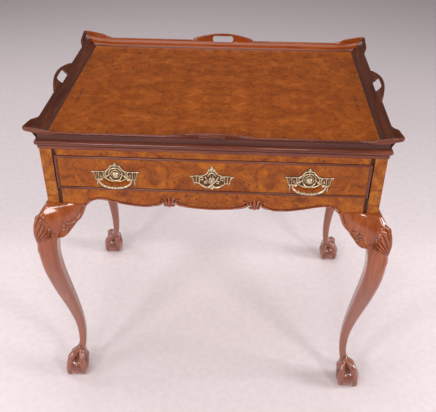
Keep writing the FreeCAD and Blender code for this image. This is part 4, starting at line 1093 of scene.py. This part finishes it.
def makeBaseBeadShell(halfLength, halfAcross):
    # a fillet, a quirk and a half round nose, mitred at both ends; the nose
    # runs with the cosine of its turn
    b, foot, top = baseBead, case["friezeTop"], case["boardTop"]
    turn = np.linspace(-math.pi / 2, math.pi / 2, 17)
    noseMiddle, noseHalf = (b["noseLow"] + top) / 2, (top - b["noseLow"]) / 2
    # the third number of each point is painted shade, in the quirk between the fillet and the nose
    # and under the nose
    section = np.array([(-b["inset"], foot, 0), (b["fillet"] - 0.4, foot, 0),
                        (b["fillet"], foot + 0.4, 0), (b["fillet"], b["filletTop"] - 0.4, 0),
                        (b["fillet"] - 0.5, b["filletTop"], 0.5), (1.2, b["noseLow"] - 0.3, 0.9)])
    nose = np.stack([gallery["neck"] + (b["nose"] - gallery["neck"]) * np.cos(turn),
                     noseMiddle + noseHalf * np.sin(turn),
                     0.8 * np.exp(-(turn + math.pi / 2) / 0.35)], -1)
    off, z, dark = np.concatenate([section, nose, [(-b["inset"], top, 0)]]).T
    stops = [(0, halfLength - 30, 8), (halfLength - 30, halfLength - 8, 6)]
    station = mirroredStations(stops, halfLength, 10)[:, None]
    return tube(roundedMitre(station, off, z, halfLength, halfAcross, b["round"]), dark)


for side, degrees in sideTurns.items():
    newPiece("nosed_bead_" + side, [placed(makeBaseBeadShell(*halfSizes(degrees)), degrees)],
             longMoulding if degrees % 180 == 0 else shortMoulding, "table",
             ["base_bead_" + side], 35)

# beads round the drawer
cockBead = {"width": 5.2, "proud": 2.8, "depth": 8.0, "nose": 2.0, "halfX": 316.2, "halfZ": 39.0,
            "middleZ": 599.0}


def makeCockBeadShell(halfLength, distance):
    # a thin strip with a round nose, mitred like a picture frame
    b = cockBead
    turn = np.linspace(-math.pi / 2, math.pi / 2, 11)
    back = [drawerFace - b["depth"] + 0.02]
    nose = drawerFace + b["proud"] - b["nose"] + b["nose"] * np.cos(turn)
    along = -b["width"] / 2 + b["width"] / 2 * np.sin(turn)
    out = np.concatenate([back, nose, back])
    inward = np.concatenate([[-b["width"]], along, [0.0]])
    # painted shade where the bead meets the drawer's face and on its back
    dark = np.concatenate([[1.0], np.clip((np.abs(turn) - 0.9) / 0.7, 0, 1) * 0.9, [1.0]])
    x = np.linspace(-1, 1, 31)[:, None] * (halfLength + inward)
    return tube(stacked(x, -out, distance + inward), dark)


for side, degrees in (("top", 0), ("right", 90), ("bottom", 180), ("left", 270)):
    flatOn = degrees % 180 == 0
    sizes = (cockBead["halfX"], cockBead["halfZ"])
    points, quads, triangles, recess = makeCockBeadShell(*(sizes if flatOn else sizes[::-1]))
    a = math.radians(degrees)
    x = points[:, 0] * math.cos(a) + points[:, 2] * math.sin(a)
    z = -points[:, 0] * math.sin(a) + points[:, 2] * math.cos(a) + cockBead["middleZ"]
    turned = shell(np.stack([x, points[:, 1], z], -1), quads, triangles, recess)
    newPiece("rounded_cock_bead_" + side, [turned], longMoulding if flatOn else uprightMoulding,
             "drawer", ["cock_bead_" + side], 50)
print("mouldings made")

# brasses
brass = {
    "handleX": 195.0,
    "plateZ": 600.0,
    "base": 1.1,
    "pitch": 0.42,
    "bailHalf": 33.0,
    "bailDrop": 20.5,
    "pivotZ": 591.0,
    "pivotProud": 9.5,
    "wire": 2.0,
    "pinRadius": 1.3,
}
handlePlate = {
    "outline": [(0, 26.2), (1.9, 24.8), (3.2, 22.6), (2.6, 20.4), (5.6, 18.8), (9.6, 18.2),
                (10.8, 15), (12.4, 11.4), (15.4, 8.2), (20, 6.1), (27, 5.2), (46.6, 5.2),
                (48, 3.6), (44.8, 0.6), (43.6, -4), (42.6, -10), (41, -14.8), (36.2, -15.4),
                (31, -15.2), (28.4, -12), (24, -10.6), (19.5, -13), (14.5, -17.4), (8.5, -20.2),
                (3.5, -20.4), (0, -20.2)],
    "strands": [
        ([(0, 18.2), (4.6, 17.8), (8.6, 16.4), (10.8, 13), (13.8, 9.2), (18.4, 6), (24, 4.4),
          (34, 3.9), (46.4, 3.9)], [1.3, 1.4, 1.5, 1.4, 1.3, 1.25, 1.25, 1.25, 1.4], 2.6),
        ([(0, 25.3), (0, 23.8), (0, 22.2), (0, 20.6), (0, 18.8)], [0.8, 1.5, 2.3, 1.5, 2.8], 2.8),
        ([(8.2, 17.6), (8.4, 17.2)], [1.9, 1.9], 3.0),
        ([(46.8, 3.8), (46.9, 3.8)], [1.8, 1.8], 2.8),
        ([(0, 12.6), (5, 11.8), (9.6, 8.6), (12.6, 3.8), (13.6, -1.5), (12.4, -6.5), (9.4, -10.4)],
         [1.1, 1.1, 1.1, 1.1, 1.1, 1.1, 1.0], 2.2),
        ([(0, 7.4), (5.2, 5.6), (8.2, 1.6), (8.8, -2.0), (7.6, -5.8), (4.6, -8.8), (0, -10.2)],
         [0.9] * 7, 2.0),
        ([(0, 8.0), (0, 12.0)], [1.0, 1.4], 2.0),
        ([(9.0, -2.0), (13.2, -2.0)], [0.9, 0.9], 1.8),
        ([(0, -17.4), (4.6, -16.6), (8.8, -13.8), (11.4, -9.6)], [2.5, 2.2, 1.6, 0.9], 3.4),
        ([(16, 5.6), (19.8, 2), (20.6, -2.8), (17.8, -6), (14.8, -4.2)], [0.9, 1.2, 1.3, 1.2, 0.9],
         2.4),
        ([(27.2, 3.6), (24.2, -0.6), (24.8, -6.0), (28.6, -8.4), (31.0, -5.6), (29.2, -3.2)],
         [0.9, 1.2, 1.3, 1.2, 1.1, 0.9], 2.4),
        ([(45.0, 3.0), (42.6, -3.5), (41.4, -9.5), (40.2, -14)], [1.0, 1.1, 1.1, 1.2], 2.2),
        ([(34.6, 3.2), (34.4, -4), (34.4, -10), (35.2, -14.2)], [1.0, 1.0, 1.0, 1.2], 2.2),
        ([(38.6, 2.8), (38.2, -12.6)], [0.7, 0.7], 1.9),
        ([(34.8, -14.2), (41, -14.2)], [1.2, 1.2], 2.4),
        ([(38, -15), (38, -17.6), (38, -20.5), (38, -25), (38, -30)], [1.7, 0.9, 1.8, 1.1, 0.5],
         2.2),
        ([(34.8, -13), (30, -12.8), (25.4, -9.8), (20.4, -12), (15.2, -15.6), (9.4, -18.2),
          (4, -18.6)],
         [1.1, 1.2, 1.3, 1.3, 1.3, 1.2, 1.1], 2.4),
        ([(18.5, -8.5), (22.5, -7.2)], [1.4, 1.4], 2.2),
    ],
    "holes": [
        ([(3.2, 9.6), (7.4, 6.8), (10.4, 2.2), (11.1, 0.2)], 1.0),
        ([(11.0, -4.2), (9.4, -7.8), (6.6, -10.8), (3.0, -12.4)], 1.0),
        ([(16.2, 0.6), (16.6, -1.6)], 1.6),
        ([(22.6, 1.4), (22.2, -2.2)], 0.9),
        ([(31.2, 0.8), (31.4, -1.6)], 1.3),
        ([(27.6, -5.6), (28.0, -4.8)], 0.9),
        ([(36.4, 0.8), (36.2, -11.2)], 0.75),
        ([(41.2, 0.4), (40.0, -8.0), (39.6, -11.4)], 0.75),
        ([(31.6, -9.8), (32.2, -8.8)], 1.0),
        ([(15.6, -10.4), (17.2, -11.4)], 1.2),
        ([(13.4, 5.6), (15.2, 3.4)], 0.7),
    ],
    "dome": (0.0, -1.6, 6.6, 5.2),
}
escutcheonPlate = {
    "outline": [(0, 26), (1.6, 22.4), (3.8, 18.4), (7.2, 16.6), (7.8, 11.4), (9.8, 7.2), (14.9, 4),
                (21, 2.2), (28, 2.2), (43.6, 0.8), (44.2, -1.2), (39.4, -5), (38, -11),
                (36.4, -18), (34.8, -21.4), (32.6, -21), (30.4, -17.6), (25, -18.6), (21, -22.4),
                (15, -26), (8, -28.4), (4.4, -29), (2.4, -32.2), (0, -33)],
    "strands": [
        ([(0, 24.8), (0, 22.6), (0, 20.0), (0, 17.6)], [0.8, 1.6, 2.2, 3.2], 2.8),
        ([(0, 15.6), (6.0, 15.6)], [1.4, 1.4], 3.0),
        ([(0, 12.4), (6.6, 12.4)], [1.2, 1.2], 2.4),
        ([(6.6, 12.8), (9.6, 7.0), (14.6, 3.2), (21, 1.2), (28, 0.8), (42.6, -0.4)],
         [1.5, 1.3, 1.3, 1.2, 1.2, 1.2], 2.6),
        ([(42.8, -0.5), (42.9, -0.5)], [1.8, 1.8], 2.8),
        ([(28.2, 0.6), (28.3, 0.6)], [1.7, 1.7], 2.8),
        ([(0, 8.6), (3.6, 7.6), (6.2, 4.4), (7.4, 0.4)], [1.1, 1.1, 1.1, 1.0], 2.2),
        ([(42, -1.6), (38.2, -5.8), (37, -11), (35.4, -17), (34, -20.6)],
         [1.0, 1.1, 1.1, 1.1, 0.7], 2.2),
        ([(25.6, -0.4), (25.0, -7.6), (25.8, -15.6)], [1.0, 1.1, 1.1], 2.2),
        ([(31.6, -0.6), (31.2, -14.6)], [0.9, 0.9], 2.0),
        ([(26, -16.2), (35, -16.2)], [1.1, 1.1], 2.3),
        ([(13.4, -1.6), (9.6, -8.4), (5.2, -14.2), (0, -19.6)], [1.1, 1.2, 1.3, 1.5], 2.6),
        ([(0, -1.6), (0, -5.4), (0, -10.4), (0, -14.6)], [0.9, 2.4, 2.2, 1.0], 3.4),
        ([(2.6, -3.2), (4.6, -7.0), (3.0, -11.6), (0.8, -15)], [0.8, 1.5, 1.4, 0.8], 2.8),
        ([(10.6, -10.6), (14.4, -12.8), (13.2, -16.0), (9.8, -15.2)], [1.0, 1.3, 1.2, 0.9], 2.4),
        ([(24.8, -3), (20.4, -2.2), (17.6, -5.6), (19.8, -9), (22.8, -7.6)],
         [0.9, 1.2, 1.2, 1.1, 0.9], 2.2),
        ([(0, -20.8), (3.2, -22.2), (4.4, -25.0), (3.2, -27.8), (0, -29.0)], [1.1] * 5, 2.4),
        ([(0, -24.8), (0, -25.2)], [2.0, 2.0], 2.8),
        ([(0, -29.6), (0, -32.2)], [1.6, 0.8], 2.2),
        ([(4.8, -25.2), (10, -26.2), (16, -24.2), (21.6, -20.4), (26, -16.8)],
         [1.9, 2.1, 1.9, 1.4, 1.0], 3.0),
    ],
    "holes": [
        ([(3.6, 5.0), (5.0, 1.8)], 1.0),
        ([(9.6, 2.0), (8.6, -3.4), (6.8, -7.0)], 1.1),
        ([(13.6, -6.4), (15.4, -3.4)], 1.2),
        ([(28.4, -3.0), (28.2, -12.6)], 1.2),
        ([(34.4, -4.0), (33.8, -12.8)], 1.1),
        ([(20.0, -5.8), (20.6, -6.2)], 0.9),
        ([(13.6, -20.0), (18.6, -17.6)], 1.5),
        ([(8.0, -20.6), (9.6, -21.2)], 1.3),
        ([(19.4, -12.6), (21.4, -13.2)], 1.3),
    ],
    "keyhole": (0.0, 4.0, 2.3, 7.0, 1.0),
}


def outlineDistance(x, z, outline):
    # signed distance to a closed outline: nearest side, inside if crossed
    # an odd number of times by a line to the right
    points = np.array(outline + [(-px, pz) for px, pz in outline[-2:0:-1]], float)
    nearest = np.full(x.shape, 1e3)
    inside = np.zeros(x.shape, bool)
    for (ax, az), (bx, bz) in zip(points, np.roll(points, -1, axis=0)):
        run = np.array([bx - ax, bz - az])
        share = np.clip(((x - ax) * run[0] + (z - az) * run[1]) / (run @ run), 0, 1)
        nearest = np.minimum(nearest, np.hypot(x - ax - share * run[0], z - az - share * run[1]))
        crossing = ax + (z - az) / (bz - az if bz != az else 1e-9) * (bx - ax)
        inside ^= ((az > z) != (bz > z)) & (x < crossing)
    return np.where(inside, -nearest, nearest)


def lineGap(x, z, points, radii):
    # distance from a smooth line less its own half width there, mirrored
    # about the middle of the plate
    path = curveThrough(points, 36) if len(points) > 2 else np.linspace(*points, 16)
    gap = np.full(x.shape, 1e3)
    halfWidth = np.ones(x.shape)
    for (px, pz), r in zip(path, spreadOver(radii, len(path))):
        away = np.hypot(np.abs(x) - px, z - pz) - r
        halfWidth = np.where(away < gap, r, halfWidth)
        gap = np.minimum(gap, away)
    return gap, halfWidth


def plateFields(plate, x, z):
    # the casting's outline, as a signed distance, and its relief
    solid = outlineDistance(x, z, plate["outline"])
    for points, radius in plate["holes"]:
        solid = np.maximum(solid, -lineGap(x, z, points, [radius, radius])[0])
    rise = np.full(x.shape, brass["base"])
    for points, radii, height in plate["strands"]:
        gap, halfWidth = lineGap(x, z, points, radii)
        solid = np.minimum(solid, gap)
        rounded = 0.7 + (height - 0.7) * halfRound(1 + np.minimum(gap, 0) / halfWidth)
        rise = np.maximum(rise, np.where(gap < 0, rounded, 0))
    if "dome" in plate:
        domeX, domeZ, radius, height = plate["dome"]
        off = np.hypot(x - domeX, z - domeZ) / radius
        dome = brass["base"] + height * halfRound(off) + 0.25 * np.cos(off * 9.0)
        rise = np.maximum(rise, np.where(off < 1, dome, 0))
    if "keyhole" in plate:
        keyX, keyZ, radius, drop, half = plate["keyhole"]
        slot = np.maximum(np.abs(x - keyX) - half, np.maximum(z - keyZ, keyZ - drop - z))
        key = np.minimum(np.hypot(x - keyX, z - keyZ) - radius, slot)
        rise = np.maximum(rise, np.where(np.abs(key - 1.0) < 0.9, 2.0 - np.abs(key - 1.0), 0))
        solid = np.maximum(np.minimum(solid, key - 1.8), -key)
    return solid, rise


def makePlateShell(plate, centreX):
    # a fine grid kept where the casting is solid, its border drawn onto the
    # outline, with the relief on the front and a flat back
    step = brass["pitch"]
    x, z = np.meshgrid(np.arange(-49.5, 49.5 + step, step), np.arange(-34.5, 27.5 + step, step),
                       indexing="ij")
    solid, rise = plateFields(plate, x, z)
    quads = gridQuads(np.arange(x.size).reshape(x.shape))
    used, quads = np.unique(quads[solid.reshape(-1)[quads].mean(-1) < 0], return_inverse=True)
    quads, size = quads.reshape(-1, 4), len(used)
    starts, ends = quads.reshape(-1), np.roll(quads, -1, axis=1).reshape(-1)
    alone = ~np.isin(starts * size + ends, ends * size + starts)
    starts, ends = starts[alone], ends[alone]
    fields = (x, z, solid, rise, *np.gradient(solid, step))
    x, z, solid, rise, slopeX, slopeZ = (field.reshape(-1)[used] for field in fields)
    onBorder = np.isin(np.arange(size), starts)
    move = np.clip(solid / np.maximum(slopeX ** 2 + slopeZ ** 2, 0.25), -0.6 * step, 0.6 * step)
    x = centreX + (x - move * onBorder * slopeX)
    z = brass["plateZ"] + (z - move * onBorder * slopeZ)
    top = np.where(onBorder, np.minimum(rise, 0.75), rise)
    points = np.concatenate([stacked(x, -(drawerFace + top), z), stacked(x, -drawerFace, z)])
    wall = np.stack([ends, starts, starts + size, ends + size], -1)
    sunk = 1 - smooth((top - brass["base"] + 0.15) / 1.1)
    return shell(points, np.concatenate([quads, quads[:, ::-1] + size, wall]), None,
                 np.tile(sunk, 2))


def makeBailShells(x):
    # a half oval wire, thicker and beaded at the grip, with a ball at each
    # end and a pin that turns in its post
    b = brass
    y, turn = -drawerFace - b["pivotProud"], fullTurn(16)
    angle = np.linspace(0, math.pi, 121)
    drop = b["bailDrop"] * np.sin(angle) ** 0.8
    path = np.stack([x - b["bailHalf"] * np.cos(angle), b["pivotZ"] - drop], -1)
    side = normals2(path)
    side[0], side[-1] = (-1, 0), (1, 0)
    fromMiddle = np.abs(angle - math.pi / 2)
    beads = 0.32 * np.abs(np.cos(fromMiddle * 16)) * smooth((0.62 - fromMiddle) / 0.1)
    collar = 0.7 * np.exp(-((fromMiddle - 0.72) / 0.045) ** 2)
    wire = (b["wire"] - 0.25 + 0.75 * np.sin(angle) ** 2 + beads + collar)[:, None]
    hollow = np.clip(1 - (beads + collar) / 0.3, 0, 1) * smooth((0.66 - fromMiddle) / 0.1) * 0.6
    rings = stacked(path[:, :1] + side[:, :1] * wire * np.cos(turn), y + wire * np.sin(turn),
                    path[:, 1:] + side[:, 1:] * wire * np.cos(turn))
    shells = [tube(rings, hollow[:, None])]
    steps = np.array([0.0, 2.6, 5.0, 5.2])[:, None]
    radius = np.array([1, 1, 1, 0.85])[:, None] * b["pinRadius"]
    for sign in (-1, 1):
        endX = x + sign * b["bailHalf"]
        shells.append(globe((endX, y, b["pivotZ"]), (b["wire"] + 0.1,) * 3))
        shells.append(tube(stacked(endX - sign * steps, y + radius * np.cos(turn),
                                   b["pivotZ"] + radius * np.sin(turn))))
    return shells


for side, sign in (("left", -1), ("right", 1)):
    x = sign * brass["handleX"]
    newPiece("cast_handle_plate_" + side, [makePlateShell(handlePlate, x)], agedBrass, "drawer",
             ["handle_plate_" + side], 60)
    newPiece("beaded_bail_" + side, makeBailShells(x), agedBrass, side + "_bail",
             ["bail_" + side], 60)
newPiece("cast_escutcheon", [makePlateShell(escutcheonPlate, 0.0)], agedBrass, "drawer",
         ["escutcheon"], 60)
print("brasses made")

# finishes of the other pieces
nodeFinish = {
    trayBurr: ["tray_panel"],
    drawerBurr: ["drawer_front"],
    railBurr: ["front_top_rail", "front_apron"],
    sideBurr: ["side_panel_left", "side_panel_right"],
    postBurr: ["post_facing_front_left", "post_facing_front_right", "post_facing_back_left",
               "post_facing_back_right"],
    longWalnut: ["back_panel"],
    oakAlongX: ["top_board", "drawer_back", "drawer_bottom"],
    oakAlongY: ["drawer_runners", "drawer_guides", "drawer_kickers", "drawer_side_left",
                "drawer_side_right", "glue_and_stop_blocks"],
    agedBrass: ["handle_posts", "handle_nuts", "brass_pins_and_screws", "lock_case"],
    drawnSteel: ["top_screws", "lock_bolt"],
}
for material, names in nodeFinish.items():
    for name in names:
        finishes = cadNodes[name].data.materials
        finishes.clear()
        finishes.append(material)
print("finishes given")

# floor, light and camera
studio = {
    "floorHalf": 9.0,
    "floorTones": [(0.3, "#e5d7da"), (0.7, "#ecdfe2")],
    "worldColour": "#e8e6e4",
    "worldStrength": 0.13,
    "lamps": [
        # name, place, aim, width, power
        ("lamp_front_left", (-1.5, -2.2, 2.2), (0.0, 0.0, 0.5), 0.5, 22.0),
        ("lamp_front_right", (1.7, -2.0, 2.2), (0.0, 0.0, 0.5), 0.5, 23.0),
        ("lamp_front", (0.3, -2.0, 2.3), (0.0, 0.0, 0.5), 0.3, 7.0),
        ("lamp_left", (-2.2, -1.2, 1.0), (-0.3, -0.2, 0.5), 1.1, 20.0),
        ("lamp_low", (-0.52, -2.2, 1.45), (-0.3, -0.2, 0.5), 0.55, 12.0),
        ("lamp_right", (2.5, -0.4, 1.2), (0.3, 0.0, 0.4), 0.8, 40.0),
        ("lamp_back_left", (-2.4, 0.7, 1.6), (0.0, 0.2, 0.3), 1.0, 12.0),
        ("lamp_above", (-0.2, 0.9, 3.0), (0.0, 0.6, 0.0), 1.8, 30.0),
    ],
}


def makeFloor():
    # a smooth pale sheet, a little pink, with the faintest mottle
    material, tree, place = startMaterial("pale_floor")
    nap = addNode(tree, "TexNoise", {"Vector": place, "Scale": 60.0, "Detail": 3.0})
    colour = setRamp(addNode(tree, "ValToRGB", [nap]), studio["floorTones"])
    body = addNode(tree, "BsdfPrincipled", {"Base Color": colour, "Roughness": 0.9,
                                            "Specular IOR Level": 0.2})
    addNode(tree, "OutputMaterial", [body])
    half = studio["floorHalf"]
    mesh = bpy.data.meshes.new("floor")
    mesh.from_pydata([(-half, -half, 0), (half, -half, 0), (half, half, 0), (-half, half, 0)], [],
                     [(0, 1, 2, 3)])
    mesh.materials.append(material)
    newObject("floor", mesh)


def makeLight():
    # square lamps, each turned so that it looks from its place at its aim
    world = bpy.data.worlds.new("soft_room")
    world.use_nodes = True
    background = world.node_tree.nodes["Background"].inputs
    background["Color"].default_value = linearColour(studio["worldColour"])
    background["Strength"].default_value = studio["worldStrength"]
    bpy.context.scene.world = world
    for name, place, aim, width, power in studio["lamps"]:
        lamp = bpy.data.lights.new(name, "AREA")
        lamp.shape = "SQUARE"
        lamp.size = width
        lamp.energy = power
        back = np.array(place, float) - np.array(aim, float)
        back /= np.linalg.norm(back)
        side = np.cross((0, 0, 1), back)
        side /= np.linalg.norm(side)
        turn = Matrix(np.stack([side, np.cross(back, side), back], 1).tolist()).to_4x4()
        newObject(name, lamp).matrix_world = Matrix.Translation(place) @ turn


camera = {
    "place": (0.0600, -1.3242, 1.2755),
    "yaw": -2.508,
    "down": 34.836,
    "roll": 0.499,
    "lens": 52.15,
    "sensor": 36.0,
}


def makeCamera():
    # looks along +Y, tipped down and turned a little to the left
    data = bpy.data.cameras.new("camera")
    data.sensor_width = camera["sensor"]
    data.lens = camera["lens"]
    holder = newObject("camera", data)
    holder.matrix_world = Matrix.Translation(camera["place"])
    turns = ((-camera["yaw"], "Z"), (90 - camera["down"], "X"), (camera["roll"], "Z"))
    for degrees, axis in turns:
        holder.matrix_world @= Matrix.Rotation(math.radians(degrees), 4, axis)
    bpy.context.scene.camera = holder


makeFloor()
makeLight()
makeCamera()
bpy.context.scene.view_settings.view_transform = "Standard"
print("floor, light and camera set")
